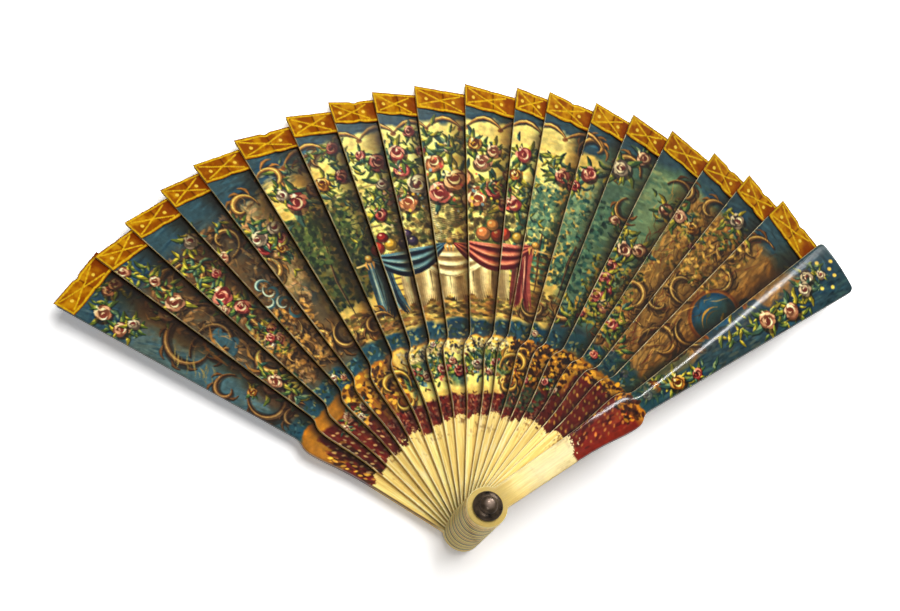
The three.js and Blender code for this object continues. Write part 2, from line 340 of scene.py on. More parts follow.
def dab(place, length, width, angle, colour, opacity=1.0, soft=0.12):
    """One touch of the brush: a soft ellipse."""
    reach = max(length, width) / 2 + soft
    rows, columns, x, y = window(place - reach, place + reach)
    if rows.stop <= rows.start or columns.stop <= columns.start:
        return
    along = (x - place[0]) * math.cos(angle) + (y - place[1]) * math.sin(angle)
    across = (y - place[1]) * math.cos(angle) - (x - place[0]) * math.sin(angle)
    far = np.sqrt((along / (length / 2)) ** 2 + (across / (width / 2)) ** 2)
    cover = np.clip((1 - far) * min(length, width) / 2 / soft + 0.5, 0, 1) * opacity
    lay(rows, columns, cover * (0.75 + 0.25 * bristles[rows, columns]), colour)


def nearest(x, y, start, step):
    """For each place, how far along a line its nearest point lies, from 0 to 1, and how far away it is."""
    part = ((x - start[0]) * step[0] + (y - start[1]) * step[1]) / max(step @ step, 1e-9)
    part = np.clip(part, 0, 1)
    return part, np.hypot(x - start[0] - part * step[0], y - start[1] - part * step[1])


def stroke(points, width, colour, opacity=1.0, taper=0.35, soft=0.11):
    """A long stroke through the points, narrowing towards its ends."""
    points = np.asarray(points, float)
    rows, columns, x, y = window(points.min(0) - width, points.max(0) + width)
    if rows.stop <= rows.start or columns.stop <= columns.start:
        return
    share = np.linspace(0, 1, len(points))
    half = width / 2 * np.clip(np.minimum(share, 1 - share) / max(taper, 1e-6), 0.2, 1)
    cover = np.zeros((rows.stop - rows.start, columns.stop - columns.start), np.float32)
    for i in range(len(points) - 1):
        part, far = nearest(x, y, points[i], points[i + 1] - points[i])
        here = half[i] + (half[i + 1] - half[i]) * part
        cover = np.maximum(cover, np.clip((here - far) / soft + 0.5, 0, 1))
    lay(rows, columns, cover * opacity * (0.8 + 0.2 * bristles[rows, columns]), colour)


def wash(sticks, radii, colour, opacity=1.0, soft=(0.15, 0.8), grain=0.0):
    """A broad patch between two sticks and two radii, with ragged soft edges."""
    inside = np.clip((ragged_stick - sticks[0]) / soft[0] + 0.5, 0, 1)
    inside = inside * np.clip((sticks[1] - ragged_stick) / soft[0] + 0.5, 0, 1)
    inside = inside * np.clip((ragged_radius - radii[0]) / soft[1] + 0.5, 0, 1)
    inside = inside * np.clip((radii[1] - ragged_radius) / soft[1] + 0.5, 0, 1)
    inside = inside * opacity * (1 - grain * blotches)
    canvas[:] += inside[..., None] * (colour - canvas)


def curl(centre, start_radius, end_radius, start, sweep, steps=22):
    """A spiral path about a canvas place; angles in degrees."""
    share = np.linspace(0, 1, steps)
    radius = start_radius + (end_radius - start_radius) * share ** 0.8
    angle = np.radians(start + sweep * share)
    return np.stack([centre[0] + radius * np.cos(angle), centre[1] + radius * np.sin(angle)], 1)


def touches(sticks, radii, tones, count, size, stretch=1.8, opacity=0.7, lean=None):
    """Many small touches over a patch; with lean they follow the stick, turned by that many radians."""
    for i in range(count):
        stick = luck.uniform(*sticks)
        angle = luck.uniform(0, math.pi) if lean is None else outward(stick) + lean + luck.normal(0, 0.2)
        length = size * luck.uniform(0.6, 1.4)
        dab(spot(stick, luck.uniform(*radii)), length * stretch, length, angle, pick(tones), opacity, 0.1)


print("canvas", canvas.shape, "cells of", CANVAS_PITCH, "mm; one step between sticks is",
      round(PAINT_STEP, 2))

# %% [markdown]
# A fan painter builds a rose from a dark disc, curved petals that catch the light from the upper left, and a
# deep cup with a red heart. Leaves are quick strokes, dark then light. Scrolls get a brown stroke, a gold one
# on its lit side and fronds along its back. The same few motifs in several sizes make all the garlands.

# %% Roses, leaves and scrolls
BLUSH = (rgb(136, 88, 70), rgb(236, 200, 176), rgb(140, 52, 48))
PINK = (rgb(150, 60, 60), rgb(234, 160, 144), rgb(134, 26, 34))
RED = (rgb(110, 26, 30), rgb(208, 96, 84), rgb(80, 8, 16))
WHITE = (rgb(112, 98, 92), rgb(236, 226, 206), rgb(150, 42, 46))
YELLOW = (rgb(126, 74, 14), rgb(228, 174, 44), rgb(104, 40, 10))
PEACH = (rgb(172, 104, 66), rgb(246, 200, 156), rgb(150, 54, 38))
LEAVES = [
    (rgb(30, 44, 30), rgb(86, 104, 46), rgb(162, 164, 74)),
    (rgb(26, 40, 32), rgb(62, 88, 54), rgb(124, 142, 76)),
    (rgb(44, 48, 22), rgb(122, 120, 42), rgb(196, 186, 76)),
    (rgb(22, 42, 44), rgb(56, 86, 80), rgb(116, 142, 116)),
]
LIT_SIDE = np.array([-0.6, 0.8])
GILT = rgb(206, 146, 66)


def leaf(place, length, angle, tones=None):
    dark, middle_tone, light = tones or LEAVES[luck.integers(len(LEAVES))]
    ahead = toward(angle)
    side = np.array([-ahead[1], ahead[0]])
    side = side if side @ LIT_SIDE > 0 else -side
    bend = luck.uniform(-0.16, 0.16) * length
    spine = np.array([place + ahead * length * s + side * bend * math.sin(math.pi * s)
                      for s in (0, 0.3, 0.6, 1)])
    stroke(spine - side * 0.05 * length, length * 0.52, dark, 0.85, taper=0.5)
    stroke(spine, length * 0.36, middle_tone, 0.95, taper=0.5)
    stroke(spine[:3] + side * 0.09 * length, length * 0.2, light, 0.95, taper=0.5, soft=0.08)


def rose(place, size, tones, turn):
    deep, petal, heart = tones
    light = lighter(petal, 0.45)
    dab(place + np.array([0.06, -0.12]) * size, size * 1.15, size, turn, deep * 0.3, 0.75, 0.22)
    for i in range(3):
        dab(place + luck.normal(0, 0.07, 2) * size, size * luck.uniform(0.8, 1.0), size * 0.74,
            luck.uniform(0, 3), deep * luck.uniform(0.6, 0.95), 0.95)
    for i in range(7):
        middle = math.degrees(turn) + i * 51 + luck.uniform(-16, 16)
        lit = 0.5 + 0.5 * math.cos(math.radians(middle) - 2.2)
        shade = deep + (light - deep) * (0.15 + 0.72 * lit * luck.uniform(0.7, 1.2))
        away = size * luck.uniform(0.28, 0.48)
        centre = place + luck.normal(0, 0.05, 2) * size
        path = curl(centre, away, away * luck.uniform(0.7, 1.0), middle - 34, luck.uniform(50, 84), 6)
        stroke(path, size * luck.uniform(0.14, 0.24), np.clip(shade, 0, 255), 0.95, 0.5, 0.09)
    cup = place + luck.normal(0, 0.05, 2) * size
    dab(cup, size * 0.44, size * 0.34, turn, (heart + deep) / 2.4, 0.95, 0.1)
    start = math.degrees(turn)
    outer = curl(cup, size * 0.27, size * 0.20, start + 170, luck.uniform(120, 200), 8)
    stroke(outer, size * 0.12, light, 0.95, 0.5, 0.08)
    inner = curl(cup, size * 0.15, size * 0.12, start + 20, 120, 6)
    stroke(inner, size * 0.09, petal, 0.9, 0.5, 0.08)
    for i in range(2):
        gleam = place + LIT_SIDE * size * luck.uniform(0.22, 0.45) + luck.normal(0, 0.08, 2) * size
        dab(gleam, size * 0.24, size * 0.09, luck.uniform(0, 3), lighter(petal, 0.8), 0.85, 0.08)


def spray(place, size, tones, leaves=4):
    """A rose with leaves round it."""
    first = luck.uniform(0, 2 * math.pi)
    for i in range(leaves):
        angle = first + i * 2 * math.pi / leaves + luck.uniform(-0.4, 0.4)
        start = place + 0.3 * size * toward(angle)
        leaf(start, max(size * luck.uniform(0.65, 0.95), 1.3), angle + luck.uniform(-0.5, 0.5))
    rose(place, size, tones, luck.uniform(0, math.pi))
    for i in range(2):
        angle = first + luck.uniform(0, 2 * math.pi)
        start = place + 0.42 * size * toward(angle)
        leaf(start, max(size * 0.45, 1.0), angle + luck.uniform(-1.2, 1.2))


def scroll(place, start_radius, end_radius, start, sweep, width=0.9, gold=GILT, fronds=5, shine=0.55):
    path = curl(place, start_radius, end_radius, start, sweep)
    lit = LIT_SIDE * width * 0.16
    stroke(path - lit * 1.4, width * 1.9, rgb(34, 24, 18), 0.65, 0.3, 0.35)
    for i in np.linspace(3, len(path) - 7, fronds).astype(int) if fronds else ():
        away = (path[i] - place) / np.linalg.norm(path[i] - place)
        ahead = (path[i + 1] - path[i]) / np.linalg.norm(path[i + 1] - path[i])
        length = width * luck.uniform(1.8, 2.9)
        frond = np.array([path[i] + away * length * a + ahead * length * b
                          for a, b in ((0, 0), (0.24, 0.22), (0.42, 0.52), (0.46, 0.82), (0.36, 1.05))])
        stroke(frond, width * 0.95, gold * 0.34, 0.85, 0.6)
        stroke(frond + lit, width * 0.5, gold * luck.uniform(0.65, 0.95), 0.95, 0.6)
    stroke(path, width * 1.2, gold * 0.42, 0.95, 0.35)
    stroke(path + lit, width * 0.75, gold * 0.82, 0.95, 0.4)
    stroke(path + lit * 1.7, width * 0.26, lighter(gold, shine, (255, 236, 150)), 0.9, 0.4, 0.08)


def cloth(top, hem, tones, folds, sway=0.25):
    """Hanging cloth between a top edge and a hem, each given as (first stick, last stick, radius)."""
    dark, light = tones
    count = int(max(abs(hem[1] - hem[0]), abs(top[1] - top[0])) * 13)
    for share in np.linspace(0, 1, count):
        wave = 0.5 + 0.5 * math.sin(share * folds * 2 * math.pi + 0.6 * math.sin(share * 9))
        shade = dark + (light - dark) * wave ** 1.4 * luck.uniform(0.85, 1.1)
        first = top[0] + share * (top[1] - top[0])
        last = hem[0] + share * (hem[1] - hem[0])
        foot = hem[2] + 0.7 * math.sin(share * folds * 2 * math.pi)
        path = [spot(first + (last - first) * s + sway * math.sin(math.pi * s) * math.sin(share * 5),
                     top[2] + (foot - top[2]) * s) for s in (0, 0.25, 0.5, 0.75, 1)]
        stroke(path, 0.85, np.clip(shade, 0, 255), 0.95, 0.04)
    for share in (np.arange(folds) + 0.25) / folds:
        first = top[0] + share * (top[1] - top[0])
        last = hem[0] + share * (hem[1] - hem[0])
        path = [spot(first + (last - first) * s, top[2] + (hem[2] + 0.8 - top[2]) * s)
                for s in (0.1, 0.5, 0.9)]
        stroke(path, 0.34, lighter(light, 0.45), 0.75, 0.5, 0.09)
        stroke(np.array(path) + 0.5, 0.3, dark * 0.5, 0.6, 0.5, 0.09)


def sagging(first, last, radius, sag, shares):
    """A hanging curve between two sticks, at the given shares of its way."""
    return np.array([spot(first + (last - first) * s, radius - 0.5 - sag * 4 * s * (1 - s)) for s in shares])


def festoon(first, last, radius, drop, tones, folds):
    """Cloth caught up at two points, its folds hanging between them in ever deeper curves."""
    dark, light = tones
    for share in np.linspace(0, 1, 34):
        wave = 0.5 + 0.5 * math.sin(share * folds * 2 * math.pi + 1.0)
        shade = dark + (light - dark) * wave ** 1.3 * luck.uniform(0.88, 1.08)
        inset = 0.16 * (1 - share)
        path = sagging(first + inset, last - inset, radius, 0.4 + drop * share, np.linspace(0, 1, 11))
        stroke(path, 0.62, np.clip(shade, 0, 255), 0.95, 0.12)
    for share in (np.arange(math.ceil(folds)) + 0.1) / folds:
        path = sagging(first + 0.2, last - 0.2, radius, 0.4 + drop * share, np.linspace(0.15, 0.7, 7))
        stroke(path, 0.26, lighter(light, 0.5), 0.7, 0.5, 0.09)
        stroke(path - 0.4, 0.26, dark * 0.5, 0.6, 0.5, 0.09)


def fruit(place, size, tone):
    dab(place + np.array([0.15, -0.2]), size * 1.1, size, 0.3, tone * 0.25, 0.8, 0.2)
    dab(place, size, size * 0.94, 0.3, tone * 0.62, 1.0)
    dab(place + LIT_SIDE * size * 0.12, size * 0.68, size * 0.62, 0.3, tone, 0.9, 0.25)
    dab(place + LIT_SIDE * size * 0.24, size * 0.26, size * 0.18, 0.3, lighter(tone, 0.7), 0.85, 0.1)


def hatching(count, sticks, middle, spread, lengths, bend, tones):
    """Fine bent lines on the sides, that lean by up to spread from the direction of the middle stick."""
    for i in range(count):
        start = spot(luck.uniform(*sticks), luck.uniform(42, 80))
        angle = outward(middle) + luck.uniform(-spread, spread)
        tip = start + luck.uniform(*lengths) * toward(angle)
        bent = (start + tip) / 2 + luck.normal(0, bend, 2)
        stroke([start, bent, tip], 0.22, pick(tones), 0.6, soft=0.09)


print("motifs ready")

# %% [markdown]
# The grounds go down in broad washes: teal over the whole face, brown shadow under the scrolls on the left,
# a cream reserve in the middle, a green one and a gold one on the right. Long loose touches follow, so that
# no ground is flat.

# %% Grounds
TEAL, DEEP_TEAL, SKY_BLUE = rgb(52, 76, 92), rgb(22, 36, 46), rgb(42, 76, 106)
CREAM, OLD_CREAM = rgb(240, 222, 140), rgb(212, 186, 102)
UMBER, DARK_UMBER, OLIVE = rgb(84, 58, 34), rgb(40, 28, 20), rgb(84, 78, 36)
SEA_GREEN, MIST_GREEN = rgb(56, 104, 98), rgb(120, 152, 122)
OCHRE, GOLD, MAROON = rgb(150, 94, 20), rgb(206, 142, 34), rgb(96, 26, 20)

canvas[:] = TEAL
canvas[:] += (broad_blotches * 0.6)[..., None] * (DEEP_TEAL - canvas)
wash((-1, 21), (80, 99), SKY_BLUE, 0.8, (0.2, 3.0), 0.4)
touches((-0.5, 20.5), (79, 93), [SKY_BLUE, DEEP_TEAL, rgb(58, 100, 134), rgb(20, 48, 76)], 900, 0.5, 5.0, 0.4,
        1.57)
wash((-1.0, 0.95), (46, 78), rgb(76, 100, 116), 0.9, (0.5, 4.0), 0.25)
touches((0, 1.3), (46, 90), [rgb(66, 100, 130), rgb(34, 58, 80), rgb(84, 110, 124)], 260, 0.45, 5.0, 0.4, 0.3)
wash((0.6, 1.25), (65, 80), rgb(92, 74, 50), 0.75, (0.3, 4.0), 0.3)
wash((0.6, 1.2), (39, 54), UMBER, 0.65, (0.4, 4.0), 0.3)
wash((0.9, 4.2), (44, 80), UMBER, 0.8, (0.5, 5.0), 0.5)
wash((-1.0, 1.0), (52, 63.5), rgb(58, 92, 120), 0.8, (0.12, 2.0), 0.25)
wash((1.2, 3.4), (58, 78), rgb(112, 82, 50), 0.6, (0.5, 6.0), 0.5)
wash((2.0, 5.2), (41, 56), rgb(120, 84, 42), 0.8, (0.6, 4.0), 0.4)
touches((1.0, 4.4), (42, 80), [UMBER, DARK_UMBER, rgb(150, 110, 66), rgb(176, 138, 96), rgb(70, 62, 50)],
        800, 0.55, 3.0, 0.5)
wash((3.9, 5.5), (58, 80), rgb(176, 150, 98), 0.85, (0.35, 3.0), 0.3)
touches((3.6, 5.4), (56, 80), [rgb(196, 168, 120), rgb(150, 118, 74), rgb(206, 160, 128), UMBER], 300, 0.6,
        2.6, 0.5)
wash((4.9, 13.8), (41, 80), OLD_CREAM, 0.97, (0.3, 1.2), 0.1)
wash((6.3, 12.8), (56, 84.0), CREAM, 0.92, (0.3, 1.0), 0.12)
touches((5.0, 13.0), (58, 83), [CREAM, rgb(248, 234, 168), rgb(226, 200, 116), rgb(236, 214, 150)],
        800, 0.7, 4.0, 0.4, 1.57)
wash((13.5, 16.2), (44, 84), rgb(84, 118, 98), 0.85, (0.3, 2.0), 0.3)
wash((15.1, 17.3), (66, 82), MIST_GREEN, 0.85, (0.25, 1.6), 0.25)
touches((13.6, 17.2), (46, 82), [MIST_GREEN, SEA_GREEN, rgb(148, 164, 122), rgb(70, 96, 72)], 600, 0.6, 3.0,
        0.45, 1.57)
wash((16.0, 19.6), (42, 81), rgb(146, 104, 48), 0.92, (0.3, 1.8), 0.2)
wash((17.4, 19.4), (42, 60), rgb(104, 74, 44), 0.6, (0.5, 5.0), 0.3)
touches((16.1, 19.4), (43, 80), [rgb(176, 132, 66), rgb(110, 76, 36), rgb(196, 152, 86), rgb(130, 92, 44)],
        900, 0.5, 4.5, 0.5, 0.2)
wash((19.55, 22), (36.5, 91), rgb(34, 60, 82), 0.92, (0.2, 1.5), 0.3)
touches((19.6, 20.6), (40, 91), [rgb(40, 74, 100), rgb(18, 40, 56), rgb(54, 86, 98)], 260, 0.5, 5.0, 0.45,
        0.0)
wash((19.0, 19.6), (37, 52), SEA_GREEN * 0.75, 0.6, (0.25, 2.0), 0.3)
print("mean of the grounds", canvas.mean((0, 1)).round())

# %% [markdown]
# The middle of the face holds a still life made up for this model: a stone urn full of blossoms stands on a
# garden ledge among fruit, with blue, cream and crimson cloths hanging over the ledge, a wall and dark trees
# on the left and misty ones on the right. What is farthest away is painted first: wall, trees and ledge.

# %% Garden behind the urn
for course in range(8):
    for block in range(5):
        start = 5.9 + block * 0.42 + (course % 2) * 0.2
        radius = 57.0 + course * 2.2
        tone = pick([rgb(146, 132, 92), rgb(118, 108, 76), rgb(168, 154, 110)])
        stroke([spot(start, radius), spot(start + 0.38, radius)], 2.1, tone, 0.92, 0.06)
        stroke([spot(start, radius - 1.05), spot(start + 0.4, radius - 1.05)], 0.3, rgb(56, 48, 34), 0.85,
               0.1)
wash((4.9, 6.9), (50, 71), rgb(44, 54, 34), 0.85, (0.4, 2.5), 0.2)
touches((4.9, 7.0), (50, 72), [rgb(34, 48, 34), rgb(56, 70, 42), rgb(24, 34, 32), OLIVE], 640, 0.8, 1.7, 0.75)
touches((5.2, 7.4), (62, 74), [rgb(104, 118, 62), rgb(62, 84, 48), rgb(156, 154, 88)], 240, 0.6, 1.7, 0.75)
touches((7.4, 11.6), (57, 71), [rgb(40, 46, 28), rgb(66, 56, 32), rgb(54, 74, 44), rgb(92, 74, 40)], 700, 0.9,
        1.8, 0.55)
touches((11.4, 14.4), (50, 71), [SEA_GREEN, rgb(30, 68, 70), rgb(92, 132, 112), rgb(24, 50, 46)], 1000, 0.7,
        1.6, 0.7)
touches((12.0, 14.0), (62, 73), [rgb(136, 166, 140), rgb(80, 124, 110)], 260, 0.6, 1.6, 0.65)
for trunk, lean in ((5.5, 0.3), (12.7, -0.3), (13.6, 0.2)):
    path = [spot(trunk + lean * s ** 2 + 0.05 * math.sin(s * 9), 45 + 22 * s) for s in np.linspace(0, 1, 7)]
    stroke(path, 0.75, rgb(44, 34, 26), 0.8, 0.6)
    stroke(np.array(path) - 0.15, 0.22, rgb(140, 112, 76), 0.6, 0.6)
    for s in (0.45, 0.6, 0.78):
        fork = spot(trunk + lean * s ** 2, 45 + 22 * s)
        turn = outward(trunk) + (0.7 if s != 0.6 else -0.7)
        stroke([fork, fork + 2.4 * toward(turn)], 0.4, rgb(44, 34, 26), 0.75, 0.6)
touches((5.0, 6.4), (60, 70), [rgb(70, 90, 50), rgb(34, 50, 34)], 130, 0.8, 1.7, 0.8)
touches((12.1, 14.2), (60, 69), [rgb(60, 106, 98), rgb(108, 146, 124)], 160, 0.7, 1.6, 0.75)
touches((4.9, 13.8), (41.5, 48),
        [rgb(104, 78, 36), OLIVE, rgb(160, 122, 60), rgb(60, 50, 30), rgb(128, 84, 50)],
        900, 0.6, 2.4, 0.65, 1.57)
for row, radius in enumerate(np.arange(46.6, 56.0, 1.3)):
    for start in np.arange(6.2 + 0.15 * (row % 3), 12.9, 0.34):
        tone = rgb(122, 98, 60) * (1.1 - 0.06 * row) * luck.uniform(0.85, 1.12)
        stroke([spot(start, radius), spot(start + 0.3, radius)], 1.9, tone, 0.9, 0.1)
for start in np.arange(6.1, 12.9, 0.3):
    tone = pick([rgb(214, 194, 142), rgb(194, 170, 118)])
    stroke([spot(start, 56.6), spot(start + 0.32, 56.6)], 1.7, tone, 0.95, 0.06)
    stroke([spot(start, 55.5), spot(start + 0.32, 55.5)], 0.5, rgb(54, 38, 26), 0.85, 0.06)
print("garden painted, mean", canvas[radius_map < 80].mean(0).round())

# %% [markdown]
# Cloth that hangs is a row of strokes from its top edge to its hem, light and dark by turns. Cloth caught up
# at two points is a row of ever deeper curves. The urn is a pile of short level strokes, each as wide as the
# urn is at that height. Leaves go under the blossoms, and the vines on top of both.

# %% Urn, blossoms, fruit and cloths
URN = 9.35
cloth((6.5, 7.3, 57.4), (6.3, 7.5, 44.8), (rgb(14, 28, 46), rgb(84, 128, 160)), 2)
cloth((11.5, 12.4, 57.6), (11.6, 12.8, 44.2), (rgb(92, 22, 30), rgb(206, 118, 106)), 2)
cloth((7.6, 11.3, 55.6), (7.5, 11.5, 45.4), (rgb(132, 112, 80), rgb(240, 226, 186)), 5, 0.1)
festoon(7.9, 11.2, 57.6, 6.4, (rgb(140, 116, 84), rgb(250, 238, 204)), 3.2)
festoon(6.6, 9.4, 57.7, 5.0, (rgb(14, 30, 50), rgb(92, 136, 166)), 2.6)
festoon(9.6, 12.4, 57.7, 5.2, (rgb(92, 20, 30), rgb(214, 124, 108)), 2.6)
for knot in (6.6, 9.5, 12.4):
    for turn in (-1.1, -0.2, 0.7):
        end = spot(knot + 0.12 * turn, 55.4)
        stroke([spot(knot, 57.8), spot(knot + 0.16 * turn, 56.6), end], 0.55, rgb(196, 150, 84), 0.95, 0.5)
    fruit(spot(knot, 57.7), 1.5, rgb(216, 168, 84))
for radius in np.arange(57.9, 66.6, 0.3):
    half = np.interp(radius, [57.9, 58.8, 59.6, 60.6, 62.2, 63.8, 65.0, 65.6, 66.0, 66.6],
                     [0.50, 0.46, 0.18, 0.30, 0.58, 0.64, 0.46, 0.46, 0.60, 0.62])
    ring = 0.72 if radius % 2.4 < 0.35 else 1.0
    for start, end, tone in (
            (-1, 1, rgb(176, 154, 110)), (0.2, 1, rgb(110, 88, 60)), (0.62, 1, rgb(58, 44, 32)),
            (-0.78, -0.3, rgb(226, 206, 160)), (-0.62, -0.45, rgb(252, 240, 204))):
        stroke([spot(URN + half * start, radius), spot(URN + half * end, radius)],
               0.5, tone * ring, 0.85, 0.1)
for stick, radius, size, tone in (
        (7.0, 59.0, 2.8, rgb(176, 58, 34)), (7.45, 59.2, 2.6, rgb(216, 172, 60)),
        (7.25, 61.0, 2.3, rgb(150, 40, 30)), (7.9, 58.9, 2.2, rgb(70, 54, 88)),
        (8.2, 58.8, 2.1, rgb(58, 46, 80)), (8.05, 60.4, 2.0, rgb(78, 60, 92)),
        (10.5, 59.2, 3.0, rgb(222, 140, 84)), (11.0, 59.2, 2.9, rgb(196, 74, 48)),
        (10.8, 61.2, 2.5, rgb(226, 160, 90)),
        (11.5, 58.9, 2.4, rgb(214, 176, 72)), (11.9, 58.8, 2.2, rgb(120, 128, 58))):
    fruit(spot(stick, radius), size, tone)
bunch = [
    (8.3, 67.2, 4.4, PEACH), (10.3, 67.0, 4.8, PEACH), (9.3, 68.4, 4.8, PINK), (7.85, 69.4, 3.6, BLUSH),
    (8.7, 70.6, 5.0, WHITE), (9.8, 71.0, 5.0, PEACH), (10.8, 69.2, 4.2, RED), (9.25, 75.0, 3.8, PEACH),
    (8.3, 74.2, 3.4, PINK), (10.4, 74.8, 3.6, BLUSH), (8.9, 78.2, 2.6, RED), (9.7, 78.4, 2.6, WHITE),
    (7.4, 66.0, 3.0, RED), (11.2, 66.2, 3.4, PINK), (7.7, 72.2, 2.6, WHITE), (11.2, 72.6, 2.7, YELLOW),
]
for stick, radius, size, tones in bunch:
    for i in range(7):
        angle = luck.uniform(0, 2 * math.pi)
        foot = spot(stick, radius) + size * 0.35 * toward(angle)
        leaf(foot, luck.uniform(2.2, 3.6), angle + luck.uniform(-0.4, 0.4))
for stick, radius, size, tones in bunch:
    rose(spot(stick, radius), size, tones, luck.uniform(0, 3))
touches((7.6, 11.4), (63, 78), [rgb(236, 220, 190), rgb(120, 150, 176), rgb(206, 80, 70), rgb(226, 190, 70)],
        60, 0.5, 1.2, 0.9)
for side, reach, fall in ((-1, 2.1, 5.0), (1, 2.2, 4.0), (-1, 1.9, -3.0), (1, 1.9, -3.5)):
    vine = np.array([spot(URN + side * (0.8 + reach * s), 68 - fall * s ** 2 + 1.5 * math.sin(s * 5))
                     for s in np.linspace(0, 1, 9)])
    stroke(vine, 0.35, rgb(52, 70, 36), 0.9)
    for place in vine[1:]:
        for turn in (0.9, -0.9):
            leaf(place, luck.uniform(1.3, 2.0), turn + (0 if side > 0 else math.pi) + luck.uniform(-0.3, 0.3))
print("urn with", len(bunch), "blossoms")

# %% [markdown]
# Garlands of roses hang along the top of the reserve and fall down both sides. Gold and brown scrolls frame
# them. Each one's place and size follow the ornament on the real fan.

# %% Scrolls of the frame
scroll_list = [
    (0.98, 66.0, 6.4, 4.0, 75, 250, 1.2), (1.15, 62.0, 4.6, 1.6, 200, -330, 1.2),
    (0.30, 55.0, 3.4, 1.0, 60, 300, 1.0), (0.85, 46.5, 4.8, 2.4, 150, 330, 1.3),
    (0.72, 40.6, 2.6, 1.0, 20, 280, 0.9), (1.6, 77.0, 3.6, 1.4, 30, 300, 1.3),
    (2.1, 74.5, 4.2, 1.6, 210, -300, 1.5), (3.35, 75.5, 3.8, 1.2, 300, 300, 1.4),
    (2.9, 58.5, 4.2, 1.6, 100, 280, 1.3), (1.9, 52.0, 4.4, 1.6, 20, -300, 1.4),
    (3.7, 47.5, 4.4, 1.6, 200, 300, 1.5), (4.35, 79.0, 3.4, 1.0, 20, 280, 1.3),
    (3.9, 64.5, 3.6, 1.2, 160, -260, 1.2), (5.3, 81.0, 3.2, 1.2, 180, -250, 1.2),
    (6.35, 80.5, 3.4, 1.2, 340, 270, 1.2), (4.9, 45.0, 3.4, 1.2, 120, 280, 1.3),
    (2.6, 48.0, 3.2, 1.0, 330, 280, 1.2), (3.1, 52.6, 2.6, 0.9, 60, -280, 1.0),
    (13.3, 82.0, 3.2, 1.0, 200, -260, 1.1), (14.3, 80.0, 3.6, 1.4, 330, 300, 1.3),
    (14.85, 71.0, 3.4, 1.0, 90, 260, 1.1), (15.9, 80.5, 3.4, 1.2, 140, -260, 1.1),
    (16.75, 80.8, 3.2, 1.0, 20, 240, 1.0), (16.2, 55.5, 4.2, 1.4, 210, 300, 1.2),
    (15.9, 45.0, 3.8, 1.4, 160, -300, 1.3), (17.0, 47.0, 3.8, 1.2, 20, 290, 1.2),
    (18.45, 50.0, 4.8, 1.8, 170, -290, 1.2), (17.9, 75.5, 3.8, 1.2, 80, 280, 1.2),
    (18.4, 79.6, 3.8, 1.6, 10, 230, 1.1), (17.6, 63.0, 4.2, 1.4, 300, -280, 1.1),
    (18.2, 69.5, 4.2, 1.6, 190, 260, 1.0), (14.1, 45.8, 3.4, 1.2, 30, -270, 1.1),
    (17.3, 57.0, 3.4, 1.0, 60, 280, 1.0), (12.9, 44.5, 2.8, 1.0, 140, 260, 0.9),
    (6.1, 44.0, 2.8, 1.0, 30, 260, 1.0), (18.9, 56.2, 3.6, 2.0, 120, 200, 1.0),
]
for stick, radius, big, small, start, sweep, width in scroll_list:
    gold = rgb(184, 136, 72) if luck.random() < 0.5 and stick > 1.5 else rgb(146, 104, 56)
    shine = 0.55
    if stick < 1.5:
        gold, shine = rgb(116, 86, 60), 0.25
        line = curl(spot(stick, radius), big - 0.7, small, start + 10, sweep * 0.7)
        stroke(line, 0.22, rgb(168, 140, 98), 0.7, 0.5, 0.09)
    scroll(spot(stick, radius), big, small, start, sweep, width, gold * luck.uniform(0.8, 1.1), shine=shine)
centre = spot(18.95, 62.6)
dab(centre, 12.0, 10.6, 0.9, rgb(96, 52, 28), 1.0, 0.5)
dab(centre, 11.3, 9.8, 0.9, rgb(136, 92, 48), 0.8, 0.3)
dab(centre, 10.4, 9.0, 0.9, rgb(22, 62, 104), 1.0, 0.2)
dab(centre + np.array([-0.4, 0.5]), 8.0, 6.4, 0.9, rgb(40, 96, 144), 0.85, 0.8)
for reach, tone in ((3.5, rgb(196, 158, 72)), (2.6, rgb(96, 92, 62))):
    stroke(curl(centre + np.array([0.8, -1.2]), reach, reach * 0.9, 200, -110), 0.5, tone, 0.85, 0.5)
wash((19.13, 20.9), (55, 70.5), rgb(40, 62, 80), 1.0, (0.03, 0.8), 0.2)
touches((19.2, 20.4), (56, 70), [rgb(46, 78, 100), rgb(24, 42, 54), rgb(74, 84, 84)], 110, 0.45, 4.0, 0.5,
        0.0)
for stick, radius, size in ((1.28, 61.6, 3.4), (1.42, 59.6, 3.0), (1.20, 58.4, 2.4), (1.36, 63.2, 2.4)):
    turn = luck.uniform(0.6, 1.2)
    dab(spot(stick, radius), size, size * 0.7, turn, rgb(48, 84, 112) * luck.uniform(0.85, 1.15), 0.95, 0.3)
stroke([spot(1.02, 57.6), spot(1.0, 60.5), spot(1.1, 63.4), spot(1.36, 65.2)], 0.6, rgb(150, 110, 58), 0.9,
       0.5)
stroke([spot(1.06, 58.0), spot(1.05, 60.4), spot(1.14, 63.0)], 0.24, rgb(206, 170, 104), 0.8, 0.5, 0.09)
for lobe in range(9):
    first, last = 5.7 + lobe * 0.86, 6.62 + lobe * 0.86
    edge = [spot(first + (last - first) * s, 82.4 + 2.4 * math.sin(math.pi * s))
            for s in np.linspace(0, 1, 7)]
    stroke(edge, 1.3, rgb(58, 40, 24), 0.8, 0.3)
    stroke(np.array(edge) + LIT_SIDE * 0.2, 0.6, rgb(170, 122, 60), 0.9, 0.4)
    stroke(np.array(edge) + LIT_SIDE * 0.35, 0.24, rgb(232, 206, 140), 0.8, 0.4, 0.08)
    dab(edge[0], 1.2, 1.0, 0, rgb(120, 76, 34), 0.9)
